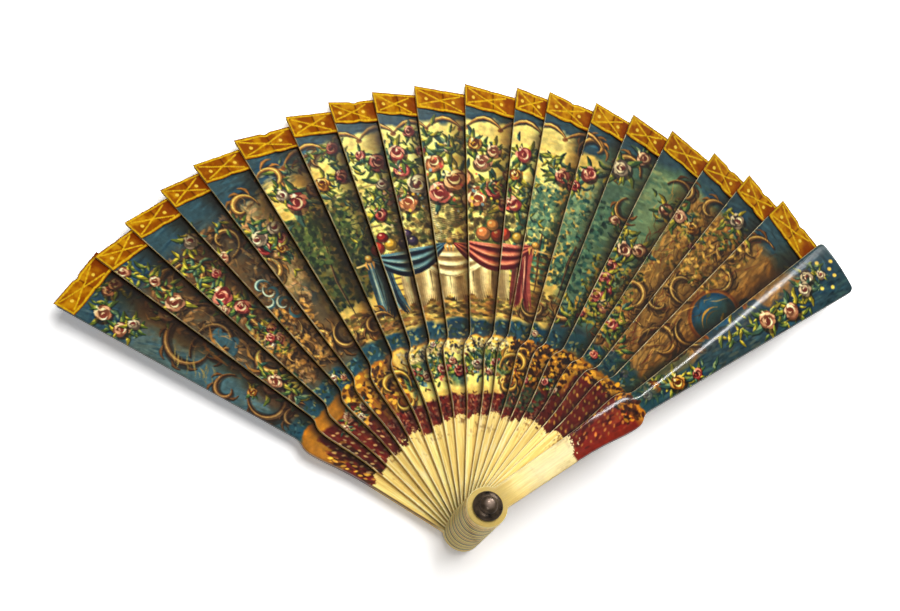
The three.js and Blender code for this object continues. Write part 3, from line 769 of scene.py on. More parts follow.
for blade in range(34):
    foot = spot(luck.uniform(0.05, 0.5), luck.uniform(58, 68))
    angle = outward(0.3) + luck.uniform(-1.3, -0.5)
    tip = foot + luck.uniform(1.0, 2.4) * toward(angle)
    stroke([foot, (foot + tip) / 2 + 0.15, tip], 0.2, rgb(150, 136, 82) * luck.uniform(0.7, 1.1), 0.7,
           soft=0.09)
hatching(380, (15.6, 18.7), 17.6, 0.9, (2.0, 5.0), 0.7,
         [rgb(70, 44, 22), rgb(206, 166, 90), rgb(110, 48, 30), rgb(84, 62, 34)])
hatching(260, (0.9, 4.6), 2.8, 1.1, (1.0, 3.0), 0.5,
         [rgb(32, 24, 18), rgb(152, 118, 72), rgb(104, 74, 44), rgb(64, 72, 70)])
print("scrolls:", len(scroll_list))

# %% [markdown]
# Each garland is a run of loose leaves along a line of knots, with roses set on it. The roses stand where
# the real ones do, so they are a list. The small touches that come last tie the flowers to their grounds.

# %% Garlands
leaf_runs = [
    ([(0.9, 87), (0.4, 84), (0.25, 80), (0.5, 75)], 40), ([(1.1, 86), (1.5, 80), (1.3, 72)], 34),
    ([(2.8, 81), (2.3, 75), (2.3, 67), (2.6, 61), (2.7, 55), (2.3, 52)], 110),
    ([(3.4, 80), (4.3, 73), (4.8, 69), (4.6, 64)], 64),
    ([(5.2, 78), (5.8, 74), (6.8, 77), (7.7, 77.5), (8.4, 78.5)], 96),
    ([(5.6, 81), (6.3, 83), (6.9, 79)], 30), ([(8.4, 79), (8.9, 83.0)], 10),
    ([(8.9, 83), (9.6, 80.5), (10.3, 78.5), (11.2, 77.6), (12.0, 77)], 56),
    ([(12.2, 77.5), (12.8, 74), (13.4, 76), (14.4, 82)], 70),
    ([(14.9, 66), (15.5, 64), (15.3, 56), (15.2, 50), (15.6, 47)], 130),
    ([(15.7, 76), (16.3, 75.5), (16.9, 73.5)], 44), ([(17.2, 82), (17.7, 79), (17.3, 74)], 34),
    ([(19.4, 86), (19.7, 81), (20.0, 75), (19.8, 69), (19.5, 61)], 100),
    ([(19.2, 38), (19.7, 43), (20.1, 48), (20.15, 55)], 70), ([(1.2, 51), (1.5, 46), (1.9, 42)], 36),
    ([(16.0, 51), (16.5, 46), (17.1, 42)], 44), ([(14.2, 47), (14.9, 44)], 24),
    ([(17.2, 42), (18.4, 40)], 24),
]
for knots, count in leaf_runs:
    knots = np.array(knots, float)
    for i in range(count):
        share = luck.uniform(0, len(knots) - 1.001)
        low = int(share)
        stick, radius = knots[low] + (knots[low + 1] - knots[low]) * (share - low)
        place = spot(stick + luck.normal(0, 0.16), radius + luck.normal(0, 1.2))
        leaf(place, luck.uniform(1.3, 2.7), luck.uniform(0, 2 * math.pi))
rose_list = [
    (0.89, 85.8, 3.4, BLUSH), (0.35, 83.9, 3.6, BLUSH), (0.25, 79.3, 3.2, BLUSH), (0.52, 77.8, 2.4, WHITE),
    (1.10, 85.6, 2.8, BLUSH), (1.40, 79.6, 2.4, BLUSH), (2.79, 80.3, 3.2, WHITE), (1.29, 73.6, 3.6, BLUSH),
    (2.32, 67.6, 3.9, PINK), (2.52, 63.2, 3.4, PINK), (2.67, 71.8, 2.1, PINK), (2.05, 65.2, 2.4, BLUSH),
    (4.20, 69.5, 3.2, RED), (4.79, 69.6, 3.0, RED), (4.22, 71.9, 3.4, WHITE), (4.79, 72.1, 3.2, WHITE),
    (4.62, 67.6, 2.4, YELLOW), (5.60, 74.8, 4.6, PINK), (5.35, 77.2, 2.8, WHITE), (6.17, 75.9, 3.2, YELLOW),
    (6.74, 82.7, 2.8, RED), (6.72, 76.3, 3.0, RED), (7.72, 77.1, 3.8, RED), (7.35, 79.4, 2.2, PINK),
    (8.67, 82.5, 2.4, RED), (8.29, 77.9, 3.6, PINK), (10.22, 78.9, 3.0, YELLOW), (10.70, 77.6, 3.0, BLUSH),
    (11.35, 77.4, 3.3, PINK), (12.72, 74.1, 3.5, PINK), (13.34, 76.2, 3.5, PINK), (13.05, 72.6, 2.4, RED),
    (14.60, 84.0, 3.2, BLUSH), (14.2, 79.4, 4.2, WHITE), (15.79, 75.6, 3.0, BLUSH), (16.15, 75.6, 3.2, BLUSH),
    (16.59, 75.2, 3.1, YELLOW), (15.34, 62.9, 3.6, BLUSH), (15.74, 64.5, 3.4, BLUSH), (15.20, 58.6, 2.8, RED),
    (15.20, 55.5, 3.1, PINK), (15.45, 53.4, 2.7, RED), (15.20, 51.2, 2.9, PINK), (15.66, 49.9, 3.0, BLUSH),
    (17.45, 82.1, 3.2, WHITE), (19.47, 82.6, 3.1, WHITE), (19.69, 80.6, 3.0, WHITE),
    (19.94, 75.5, 3.7, BLUSH), (19.82, 70.0, 3.9, BLUSH), (2.69, 55.7, 2.4, RED), (2.64, 53.1, 2.6, PINK),
    (2.25, 53.9, 2.7, WHITE), (2.45, 54.6, 2.1, PINK), (1.29, 47.9, 3.2, BLUSH), (17.07, 41.6, 2.4, BLUSH),
    (18.30, 40.0, 1.7, PINK), (19.42, 41.3, 3.3, YELLOW), (19.91, 46.3, 3.4, YELLOW), (20.03, 50.7, 2.2, RED),
    (3.05, 73.0, 2.4, BLUSH), (16.3, 47.2, 2.6, PINK), (14.95, 46.6, 2.4, PINK), (0.75, 50.5, 1.8, YELLOW),
    (17.7, 66.5, 2.0, YELLOW), (19.6, 39.4, 2.0, BLUSH), (19.62, 85.6, 2.0, WHITE), (16.9, 71.6, 2.2, PINK),
    (14.6, 68.4, 2.2, BLUSH),
]
for stick, radius, size, tones in rose_list:
    spray(spot(stick, radius), size, tones, leaves=4)
touches((16.3, 18.4), (64, 79), [rgb(196, 150, 66), rgb(104, 74, 30), rgb(216, 180, 96), OLIVE], 380, 0.5,
        1.8, 0.7)
touches((14.4, 16.4), (45, 60), [rgb(168, 164, 62), rgb(54, 72, 34), rgb(196, 160, 70), rgb(34, 48, 30)], 260,
        0.5, 1.8, 0.75)
touches((2.0, 4.2), (44, 58), [rgb(176, 128, 60), rgb(66, 44, 22), rgb(204, 160, 84)], 260, 0.5, 2.0, 0.6)
for stick, radius in ((3.30, 63.4), (3.45, 61.6), (3.75, 55.2), (3.2, 60.2), (3.55, 58.0)):
    place = spot(stick, radius)
    stroke(curl(place, 1.9, 0.7, luck.uniform(0, 360), 250), 0.65, rgb(50, 90, 112), 0.9)
    bright_curl = curl(place + LIT_SIDE * 0.15, 1.9, 0.7, luck.uniform(0, 360), 230)
    stroke(bright_curl, 0.35, rgb(176, 200, 206), 0.9)
for stick, radius in ((19.35, 86.6), (19.5, 89.2), (19.8, 88.0), (19.62, 87.9), (20.0, 86.2), (19.9, 84.0)):
    dab(spot(stick, radius), 0.85, 0.75, 0, rgb(216, 196, 104), 0.9)
print("roses:", len(rose_list), "leaf runs:", len(leaf_runs))

# %% [markdown]
# Below the notch the sticks carry bands: blue at the notch, gilt speckled with brown over the shoulders,
# dark red with gold dots at the sides, and a small cream reserve with flowers in the middle.

# %% Lower bands
wash((-1, 14.4), (37.2, 40.8), rgb(26, 68, 98), 0.92, (0.2, 0.7), 0.25)
wash((14.4, 22), (37.2, 42.0), rgb(26, 66, 88), 0.85, (0.3, 0.9), 0.35)
wash((9.0, 12.0), (37.5, 40.5), rgb(30, 46, 66), 0.75, (0.2, 0.8), 0.4)
touches((0, 19), (37.6, 40.6), [rgb(150, 150, 100), rgb(70, 116, 140), rgb(16, 40, 60), rgb(40, 60, 40)], 420,
        0.4, 2.2, 0.65)
wash((-1, 22), (-5, 37.2), OCHRE, 1.0, (0.1, 0.6), 0.15)
wash((-1, 22), (30, 37.2), GOLD, 0.5, (0.1, 2.0), 0.5)
wash((-1, 22), (-5, 26.6), MAROON, 1.0, (0.1, 0.5), 0.15)
wash((0.35, 2.95), (-5, 33.6), MAROON, 1.0, (0.12, 0.8), 0.1)
wash((2.3, 4.2), (-5, 29.5), rgb(80, 28, 24), 0.9, (0.3, 1.4), 0.2)
touches((-0.4, 0.85), (20.5, 31), [rgb(70, 36, 10), rgb(96, 52, 14), rgb(58, 28, 12)], 44, 0.6, 3.0, 0.8,
        0.35)
touches((-0.4, 0.85), (20.5, 31), [rgb(226, 172, 62), rgb(204, 146, 48)], 20, 0.4, 2.4, 0.8, 0.35)
wash((0.5, 1.0), (-5, 30), rgb(56, 18, 14), 0.8, (0.2, 1.4), 0.2)
wash((14.8, 16.4), (-5, 29.0), rgb(84, 24, 18), 0.9, (0.3, 1.6), 0.2)
wash((16.2, 19.05), (-5, 34.6), MAROON, 1.0, (0.15, 0.8), 0.1)
wash((19.0, 22), (-5, 35.0), rgb(118, 30, 18), 1.0, (0.1, 1.6), 0.1)
wash((19.3, 19.9), (30.5, 34.5), rgb(150, 64, 22), 0.7, (0.3, 1.6), 0.3)
touches((0, 20.4), (20, 33), [rgb(60, 14, 12), rgb(134, 60, 40), rgb(92, 30, 26)], 700, 0.5, 3.0, 0.45, 0.1)
touches((3.0, 15.8), (21, 26.4), [rgb(150, 112, 96), rgb(104, 84, 74), rgb(46, 14, 20), rgb(122, 52, 48)],
        420, 0.35, 2.2, 0.55)
touches((12.4, 15.2), (22.6, 27.5), [rgb(40, 58, 44), rgb(70, 84, 58), rgb(30, 38, 36)], 120, 0.6, 2.0, 0.7)
wash((5.9, 12.3), (25.4, 37.0), OLD_CREAM, 1.0, (0.2, 0.5), 0.1)
wash((6.3, 12.0), (26.4, 34.5), CREAM, 0.9, (0.25, 1.0), 0.1)
touches((2.6, 5.9), (28.5, 37), [rgb(84, 50, 16), rgb(62, 36, 14), rgb(222, 170, 60)], 170, 0.7, 1.5, 0.85)
touches((12.3, 15.9), (28.0, 37.2), [rgb(58, 30, 10), rgb(74, 40, 12), rgb(44, 24, 10)], 250, 0.72, 1.6, 0.92)
touches((12.3, 15.9), (28.0, 37.2), [rgb(232, 176, 52), rgb(214, 150, 40)], 110, 0.45, 1.6, 0.8)
touches((15.8, 19.0), (33.8, 37.2), [rgb(64, 34, 12), rgb(214, 156, 46)], 110, 0.55, 1.6, 0.9)
touches((19.0, 20.3), (32.8, 37.0), [rgb(58, 28, 12), rgb(74, 36, 14), rgb(176, 116, 30)], 90, 0.62, 1.7, 0.9)
print("bands laid, mean below the notch", canvas[radius_map < 37].mean(0).round())

# %% [markdown]
# The small reserve has a swag of flowers between two gold scrolls, with a lace line above. Each stick shows
# only a sliver of it, so the motifs are small and close together.

# %% Small reserve, shoulder flowers and dots
for stick in np.arange(6.1, 12.2, 0.1):
    sag = 31.4 - 1.6 * math.cos((stick - 6.1) / 6.1 * 4 * math.pi)
    shade = luck.uniform(0.8, 1.15)
    dab(spot(stick, sag + luck.normal(0, 0.8)), 2.4, 1.2, outward(stick) + luck.uniform(-0.5, 0.5),
        pick([rgb(44, 82, 100), rgb(62, 92, 76), rgb(96, 112, 70)]) * shade, 0.8, 0.6)
    for i in range(2):
        leaf(spot(stick + luck.uniform(-0.1, 0.1), sag + luck.normal(0, 1.0)), luck.uniform(1.4, 2.4),
             outward(stick) + luck.uniform(-1.1, 1.1))
touches((6.1, 12.2), (27.6, 33.4), [rgb(34, 70, 96), rgb(86, 30, 26), rgb(46, 62, 34), rgb(128, 92, 44)], 60,
        0.45, 2.2, 0.8)
touches((6.3, 12.0), (28.6, 32.6), [rgb(196, 84, 74), rgb(226, 176, 150), rgb(98, 140, 176)], 44, 0.5, 1.0,
        0.9)
touches((6.2, 12.1), (33.8, 36.8), [rgb(214, 204, 168), rgb(60, 52, 44), rgb(166, 152, 112)], 340, 0.45, 1.5,
        0.9)
for stick, radius, size, tones in (
        (8.35, 31.2, 2.3, PINK), (7.35, 30.6, 2.1, BLUSH), (9.4, 30.2, 2.3, RED), (10.35, 31.4, 2.2, WHITE),
        (11.3, 31.6, 2.1, PINK), (6.45, 32.0, 1.9, RED), (9.0, 32.4, 1.7, BLUSH), (10.9, 29.6, 1.6, BLUSH),
        (2.27, 32.1, 2.4, BLUSH), (2.75, 30.4, 1.7, WHITE), (1.6, 31.0, 1.6, BLUSH), (3.3, 31.6, 1.9, BLUSH),
        (14.9, 29.6, 1.7, PINK), (15.6, 28.6, 1.6, BLUSH), (3.09, 39.9, 1.9, WHITE), (3.5, 38.8, 1.5, BLUSH),
        (8.1, 36.4, 1.3, WHITE), (13.6, 28.6, 1.4, PINK), (16.4, 39.6, 1.8, PINK), (13.2, 39.0, 1.5, WHITE)):
    spray(spot(stick, radius), size, tones, leaves=3)
for stick, way in ((5.75, 1), (12.4, -1)):
    upper, lower = spot(stick - way * 0.3, 31.5), spot(stick - way * 0.1, 27.2)
    scroll(upper, 3.0, 1.2, 90 - way * 100, way * 270, 1.1, rgb(216, 160, 60), 4)
    scroll(lower, 1.7, 0.7, 90 + way * 60, way * 270, 0.8, rgb(206, 150, 60), 2)
dotted_bands = [
    (0.35, 3.0, 21.6, 32.8, rgb(182, 148, 108)), (16.2, 19.0, 21.6, 34.0, rgb(180, 132, 60)),
    (19.05, 20.3, 21.6, 33.0, rgb(196, 122, 58)),
]
for first, last, low, high, tone in dotted_bands:
    for row, radius in enumerate(np.arange(low + 0.8, high, 1.9)):
        step = 9.5 / radius
        for stick in np.arange(first + (step / 2 if row % 2 else 0), last, step):
            place = spot(stick + luck.uniform(-0.04, 0.04), radius + luck.uniform(-0.3, 0.3))
            shade = tone * luck.uniform(0.7, 1.12)
            dab(place, luck.uniform(0.6, 1.0), luck.uniform(0.3, 0.5),
                outward(stick) + luck.uniform(0.2, 1.0), shade, 0.85, 0.12)
for stick in np.arange(3.2, 16.2, 0.34):
    for radius in (22.3, 23.9, 25.4):
        place = spot(stick + luck.uniform(-0.1, 0.1), radius)
        turn = luck.uniform(0, 3)
        dab(place, 0.7, 0.3, turn, pick([rgb(176, 116, 80), rgb(52, 10, 12)]), 0.7, 0.1)
streaks = cloud(0.8, 21)
canvas *= (0.90 + 0.20 * streaks)[..., None]
canvas *= np.interp(ragged_stick, [11.0, 14.5, 19.3, 19.7], [1.0, 0.82, 0.84, 0.95])[..., None]
OLD_VARNISH = np.array([1.10, 1.03, 0.82], np.float32)
BLUR_CELLS = 9
padded = np.pad(canvas, ((BLUR_CELLS, BLUR_CELLS + 1), (BLUR_CELLS, BLUR_CELLS + 1), (0, 0)), mode="edge")
sums = padded.astype(np.float64).cumsum(0).cumsum(1)
side = 2 * BLUR_CELLS + 1
soft_canvas = (sums[side:, side:] - sums[:-side, side:]
               - sums[side:, :-side] + sums[:-side, :-side]) / side ** 2
soft_canvas = soft_canvas[:canvas.shape[0], :canvas.shape[1]].astype(np.float32)
canvas = np.clip((canvas + 0.55 * (canvas - soft_canvas)) * OLD_VARNISH, 0, 255)
print("mean of the finished picture", canvas.mean((0, 1)).round())

# %% [markdown]
# A stick could be cut from a plate with a boolean, but the paint needs an even net of small faces over its
# whole front. So each stick starts as a grid, which is drawn in to the outline: round head, narrow shank,
# shoulder, notch and long blade. Its rim is then extruded down for the sides, and the back is filled.

# %% Outline of a stick
PAST_END = 120.0
BOW_START, BOW_WHOLE = 26.0, 38.0
HEAD_STOP = 0.8176
HEAD_ROWS, SHANK_ROWS = 40, 44
LAST_ROWS = np.array([0.09, 0.05, 0.02, 0.0])
STICK_RIMS = np.array([0.0, 0.03, 0.07, 0.12, 0.2])
GUARD_RIMS = np.array([0.0, 0.06, 0.14, 0.25, 0.4])


def detail(full, quick):
    return full


def bezier(start, first, second, end, steps=24):
    t = np.linspace(0, 1, steps)[:, None]
    start, first, second, end = (np.array(p, float) for p in (start, first, second, end))
    return start * (1 - t) ** 3 + 3 * first * t * (1 - t) ** 2 + 3 * second * t * t * (1 - t) + end * t ** 3


def side_curve(form):
    """Half width of a stick against its reach, from the neck to its end."""
    slope = math.tan(math.radians(form["half_angle"]))
    notch_half = NOTCH_REACH * slope
    flare = SHOULDER_REACH - SHANK_REACH
    step = (NOTCH_REACH - SHOULDER_REACH) * 0.55
    neck = math.sqrt(HEAD_RADIUS ** 2 - NECK_HALF ** 2)
    flared = bezier((SHANK_REACH, SHANK_HALF), (SHANK_REACH + flare * 0.5, SHANK_HALF),
                    (SHANK_REACH + flare * 0.75, SHOULDER_HALF), (SHOULDER_REACH, SHOULDER_HALF))
    notched = bezier((SHOULDER_REACH, SHOULDER_HALF), (SHOULDER_REACH + step, SHOULDER_HALF),
                     (NOTCH_REACH - step, notch_half), (NOTCH_REACH, notch_half))
    return np.vstack([[[neck, NECK_HALF]], flared, notched, [[PAST_END, PAST_END * slope]]])


def half_width(form, reach):
    curve = side_curve(form)
    width = np.interp(reach, curve[:, 0], curve[:, 1])
    round_part = np.sqrt(np.maximum(HEAD_RADIUS ** 2 - reach ** 2, 1e-4))
    return np.where(reach < curve[0, 0], round_part, width)


def rounding(distance, edge):
    """How far a rounded edge falls at a distance from the rim."""
    inside = np.clip(edge - distance, 0, edge)
    return edge - np.sqrt(edge ** 2 - inside ** 2)


def crown_drop(form, reach, across):
    """How far a guard's outer face falls from its middle line. From the shoulder on, it bows."""
    flat = np.maximum(np.abs(across) - CROWN_FLAT, 0) ** 2 / (2 * CROWN_RADIUS)
    bow = BLADE_BOW * (across / half_width(form, reach)) ** 2
    return flat + (bow - flat) * np.interp(reach, [BOW_START, BOW_WHOLE], [0, 1])


def front_height(form, reach, across):
    """Height of a stick's front face, before its edges are rounded."""
    height = np.full_like(reach, form["thick"])
    if form["index"] == LAST:
        return height - crown_drop(form, reach, across)
    stages = [SHOULDER_REACH, NOTCH_REACH, THINNED_REACH]
    thinned = np.interp(reach, stages, [0, NOTCH_THINNING, TIP_THINNING])
    return height - thinned


def stations(form):
    """The grid's rows along the stick, close together where there is paint, and its columns across it."""
    end = form["reach"] * math.cos(math.radians(form["half_angle"]))
    head = -HEAD_RADIUS * np.cos(np.linspace(0.05, math.acos(-HEAD_STOP), HEAD_ROWS))
    shank = np.linspace(head[-1], SHANK_REACH, SHANK_ROWS)[1:]
    blade = np.linspace(SHANK_REACH, end - 0.13, detail(400, 200))[1:]
    rows = np.concatenate([head, shank, blade, end - LAST_ROWS])
    rims = GUARD_RIMS if form["is_guard"] else STICK_RIMS
    if form["index"] == LAST:
        return rows, rims, np.linspace(1, -1, detail(66, 34))
    inner = np.concatenate([np.linspace(1, -0.5, detail(54, 27)), np.linspace(-0.5, -1, 10)[1:]])
    return rows, rims, inner


def draw_in(form, rows, rims, inner):
    """Places of the grid's points: drawn in to the outline, with rounded edges."""
    width = half_width(form, rows)
    end = rows[-1]
    corner = form["corner"]
    near = np.clip(corner - (end - rows), 0, corner)
    width = width - (corner - np.sqrt(corner ** 2 - near ** 2)) * (rows > NOTCH_REACH)
    tight = np.minimum(1, width)[:, None]
    left = width[:, None] - rims[None, :-1] * tight
    middle = inner[None, :] * (width[:, None] - rims[-1] * tight)
    across = np.hstack([left, middle, -left[:, ::-1]])
    reach = np.repeat(rows[:, None], across.shape[1], 1)
    slant = math.tan(math.radians(form["slant"]))
    left_half = end * math.tan(math.radians(form["half_angle"]))
    own_end = end - (left_half - across) * slant
    share = np.clip((reach - NOTCH_REACH) / (end - NOTCH_REACH), 0, 1)
    drawn = np.where(reach > NOTCH_REACH, NOTCH_REACH + (own_end - NOTCH_REACH) * share, reach)
    edge = form["edge"]
    side = width[:, None] - np.abs(across)
    side = np.where(drawn < 0, np.minimum(side, HEAD_RADIUS - np.hypot(drawn, across)), side)
    height = front_height(form, drawn, across)
    height = height - rounding(np.maximum(side, 0), edge) - rounding(np.maximum(own_end - drawn, 0), edge)
    return np.stack([drawn, across, height], -1)


rows, rims, inner = stations(forms[1])
print("rows", len(rows), "columns", len(inner) + 2 * len(rims) - 2)

# %% [markdown]
# Only three blanks are modelled: the rear guard, one inner stick and the front guard. The inner one is copied
# for each of the eighteen sticks between them. A blank lies along X with its hole at the origin, so a turn
# about Z swings it.

# %% Model a stick
NUDGE = 0.01
BORE_LIP, NEAR_BORE = 2.0, 2.2
FRONT_EDGE, SIDE_ROWS, BACK_INSET = 0.04, (0.34, 0.08), 0.06


def read_points(mesh):
    points = np.empty(len(mesh.vertices) * 3, np.float32)
    mesh.vertices.foreach_get("co", points)
    return points.reshape(-1, 3)


def write_points(mesh, points):
    mesh.vertices.foreach_set("co", np.ascontiguousarray(points, np.float32).ravel())
    mesh.update()


def chosen(mesh):
    flags = np.empty(len(mesh.vertices), bool)
    mesh.vertices.foreach_get("select", flags)
    return flags


def select_open_rims():
    bpy.ops.mesh.select_mode(type="EDGE")
    bpy.ops.mesh.select_all(action="DESELECT")
    bpy.ops.mesh.select_non_manifold(extend=False, use_wire=False, use_boundary=True,
                                     use_multi_face=False, use_non_contiguous=False, use_verts=False)


def extrude_all(rise):
    """Enters edit mode and extrudes the whole sheet upwards."""
    bpy.ops.object.mode_set(mode="EDIT")
    bpy.ops.mesh.select_all(action="SELECT")
    bpy.ops.mesh.extrude_region_move(TRANSFORM_OT_translate={"value": (0, 0, rise)})


def turn_outwards():
    """Turns all faces outwards and leaves edit mode."""
    bpy.ops.mesh.select_all(action="SELECT")
    bpy.ops.mesh.normals_make_consistent(inside=False)
    bpy.ops.object.mode_set(mode="OBJECT")


def edge_extrude(thing, change):
    """Extrudes the open rims and moves the new points as change says."""
    bpy.ops.object.mode_set(mode="EDIT")
    select_open_rims()
    bpy.ops.mesh.extrude_edges_move(TRANSFORM_OT_translate={"value": (0, 0, -NUDGE)})
    bpy.ops.object.mode_set(mode="OBJECT")
    picked = chosen(thing.data)
    points = read_points(thing.data)
    points[picked] = change(points[picked])
    write_points(thing.data, points)
    front = np.empty(len(thing.data.vertices), np.float32)
    thing.data.attributes["front"].data.foreach_get("value", front)
    front[picked] = 0
    thing.data.attributes["front"].data.foreach_set("value", front)


def grid_sheet(name, places):
    """A grid primitive drawn to the given places, one per point."""
    long_count, wide_count = places.shape[:2]
    bpy.ops.object.select_all(action="DESELECT")
    bpy.ops.mesh.primitive_grid_add(x_subdivisions=long_count - 1, y_subdivisions=wide_count - 1, size=2)
    sheet = bpy.context.object
    sheet.name = name
    sheet.data.name = name
    points = read_points(sheet.data)
    row = np.round((points[:, 0] + 1) / 2 * (long_count - 1)).astype(int)
    column = np.round((1 - points[:, 1]) / 2 * (wide_count - 1)).astype(int)
    write_points(sheet.data, places[row, column])
    sheet.data.attributes.new("front", "FLOAT", "POINT")
    sheet.data.attributes["front"].data.foreach_set("value", np.ones(len(points), np.float32))
    share = np.column_stack([row / (long_count - 1), column / (wide_count - 1), np.zeros(len(points))])
    sheet.data.attributes.new("share", "FLOAT_VECTOR", "POINT")
    sheet.data.attributes["share"].data.foreach_set("vector", share.astype(np.float32).ravel())
    return sheet


def cut_bore(sheet):
    """Deletes the faces over the pin and draws the hole's rim to a circle."""
    mesh = sheet.data
    centres = np.array([face.center[:2] for face in mesh.polygons])
    inside = np.hypot(centres[:, 0], centres[:, 1]) < BORE_RADIUS
    mesh.polygons.foreach_set("select", inside)
    bpy.ops.object.mode_set(mode="EDIT")
    bpy.ops.mesh.select_mode(type="FACE")
    bpy.ops.object.mode_set(mode="OBJECT")
    mesh.polygons.foreach_set("select", inside)
    bpy.ops.object.mode_set(mode="EDIT")
    bpy.ops.mesh.delete(type="FACE")
    select_open_rims()
    bpy.ops.object.mode_set(mode="OBJECT")
    points = read_points(mesh)
    far = np.hypot(points[:, 0], points[:, 1])
    rim = chosen(mesh) & (far < NEAR_BORE)
    points[rim, :2] *= (BORE_RADIUS / far[rim])[:, None]
    write_points(mesh, points)


def shape_rear_guard(guard, form):
    """Extrudes the sheet and gives the outer face, the one below, its crown."""
    mesh = guard.data
    extrude_all(NUDGE)
    bpy.ops.object.mode_set(mode="OBJECT")
    new = chosen(mesh)
    points = read_points(mesh)
    points[new, 2] -= NUDGE
    side = half_width(form, points[:, 0]) - np.abs(points[:, 1])
    outer = crown_drop(form, points[:, 0], points[:, 1]) + rounding(np.maximum(side, 0), form["edge"])
    points[~new, 2] = outer[~new]
    write_points(mesh, points)
    mesh.attributes["front"].data.foreach_set("value", new.astype(np.float32))


def at_height(points, height):
    return np.column_stack([points[:, :2], np.full(len(points), height)])


def drawn_under(points):
    """The back's rim, a little inside the sides, but not round the bore."""
    outside = np.hypot(points[:, 0], points[:, 1]) > BORE_LIP
    across = points[:, 1] - BACK_INSET * np.sign(points[:, 1]) * outside
    return np.column_stack([points[:, 0], across, np.zeros(len(points))])


def shape_flat_back(stick):
    """Extrudes the rims down in rows for the sides and fills the back."""
    edge_extrude(stick, lambda points: points - np.array([0, 0, FRONT_EDGE], np.float32))
    for height in SIDE_ROWS:
        edge_extrude(stick, lambda points: at_height(points, height))
    edge_extrude(stick, drawn_under)
    bpy.ops.object.mode_set(mode="EDIT")
    bpy.ops.mesh.fill(use_beauty=False)
    bpy.ops.object.mode_set(mode="OBJECT")


def make_stick(form):
    rows, rims, inner = stations(form)
    stick = grid_sheet(form["name"] + "_lacquered", draw_in(form, rows, rims, inner))
    cut_bore(stick)
    if form["index"] == 0:
        shape_rear_guard(stick, form)
    else:
        shape_flat_back(stick)
    bpy.ops.object.mode_set(mode="EDIT")
    turn_outwards()
    return stick


blanks = {index: make_stick(forms[index]) for index in (0, 1, LAST)}
for index, blank in blanks.items():
    faces = sum(len(face.vertices) - 2 for face in blank.data.polygons)
    print(blank.name, "triangles", faces)

# %% [markdown]
# Each stick takes its paint from the canvas. What the next stick hides was never seen: there the lacquer is
# dark red-brown, and the strip just beside it has kept its yellow varnish. Painted shade darkens each stick
# towards the next one's edge. The heads and shanks are bare bone, stained near the paint, with painted shade
# along one side and painted highlights on the rims, and the paint is worn off along the left edge.

# %% Paint the sticks
def folded(cell, last):
    """Turns back at both ends of the canvas, so that a field can be read beyond it."""
    return last - np.abs(np.mod(cell, 2 * last) - last)


def sample(field, x, y):
    """Reads a canvas field at places between its cells."""
    column = folded((x - CANVAS_LOW[0]) / CANVAS_PITCH - 0.5, canvas_cells[0] - 2)
    row = folded((y - CANVAS_LOW[1]) / CANVAS_PITCH - 0.5, canvas_cells[1] - 2)
    i, j = row.astype(int), column.astype(int)
    v, u = row - i, column - j
    if field.ndim == 3:
        v, u = v[:, None], u[:, None]
    low = field[i, j] * (1 - u) + field[i, j + 1] * u
    high = field[i + 1, j] * (1 - u) + field[i + 1, j + 1] * u
    return low * (1 - v) + high * v


def to_linear(colour):
    share = np.clip(colour / 255.0, 0, 1)
    return np.where(share < 0.04045, share / 12.92, ((share + 0.055) / 1.055) ** 2.4)


def ramp(value, low, high):
    return np.clip((value - low) / (high - low), 0, 1)


def blend_in(colour, tone, share):
    return colour + share[:, None] * (tone - colour)


HEAD_AGE = (1.0, 0.62, 1.1, 0.84, 1.12, 0.5, 0.96, 1.14, 0.66)
PAINT_BORDER, BONE_END = 20.6, 22.0
BACK_FACING = -0.9
MAP_SPAN = 100.0


def survey(points, form):
    """What a stick's colours depend on: where its points lie, how much of it shows, and three noises."""
    reach, across = points[:, 0].astype(float), points[:, 1].astype(float)
    far = np.hypot(reach, across)
    half = half_width(form, reach)
    from_left = form["half_angle"] - np.degrees(np.arctan2(across, np.maximum(reach, 1e-3)))
    step = OPEN_STEPS[min(form["index"], LAST - 1)]
    shift = form["index"] * 9.7
    return dict(
        reach=reach, across=across, far=far, left_rim=half - across, near_rim=half - np.abs(across),
        share=from_left / PAINT_STEP,
        seen=(half - across) / (np.maximum(far, 1.0) * math.radians(step)),
        streak=sample(bristles, reach * 0.08 - 60 + shift * 0.6, across * 1.6 + 40 + shift * 0.5),
        mottle=sample(blotches, reach * 1.4 - 70, across * 1.4 + 20 + shift),
        fleck=sample(bristles, reach - 60, across + 30 + shift * 0.7),
    )


def face_tones(form, at):
    """The picture, yellowed and with painted shade towards the next stick, and dark red where that one hides
    it.
    """
    index, mottle = form["index"], at["mottle"]
    turn = np.arctan2(at["across"], at["reach"]) + np.radians(REAR_AZIMUTH - index * PAINT_STEP)
    colour = sample(canvas, at["far"] * np.cos(turn), at["far"] * np.sin(turn))
    if index == LAST:
        return colour
    aged = ramp(at["share"] + (mottle - 0.5) * 0.2, 0.60, 0.95) * 0.6
    colour = blend_in(colour, colour * np.array([0.86, 0.68, 0.36]) + rgb(14, 6, 0), aged)
    hidden = ramp(at["share"] + (at["fleck"] - 0.5) * 0.06, 1.20, 1.27)
    colour = blend_in(colour, rgb(62, 22, 22) * (0.7 + 0.6 * mottle[:, None]), hidden)
    # Painted shade: the face darkens towards the next stick's edge, where that stick's shadow falls.
    start, depth = (0.42, 0.88) if index < 8 else (0.58, 0.72)
    painted_shade = ramp(at["seen"] + (mottle - 0.5) * 0.12, start, 1.02) ** 1.5 * depth
    return blend_in(colour, rgb(18, 12, 9), painted_shade)


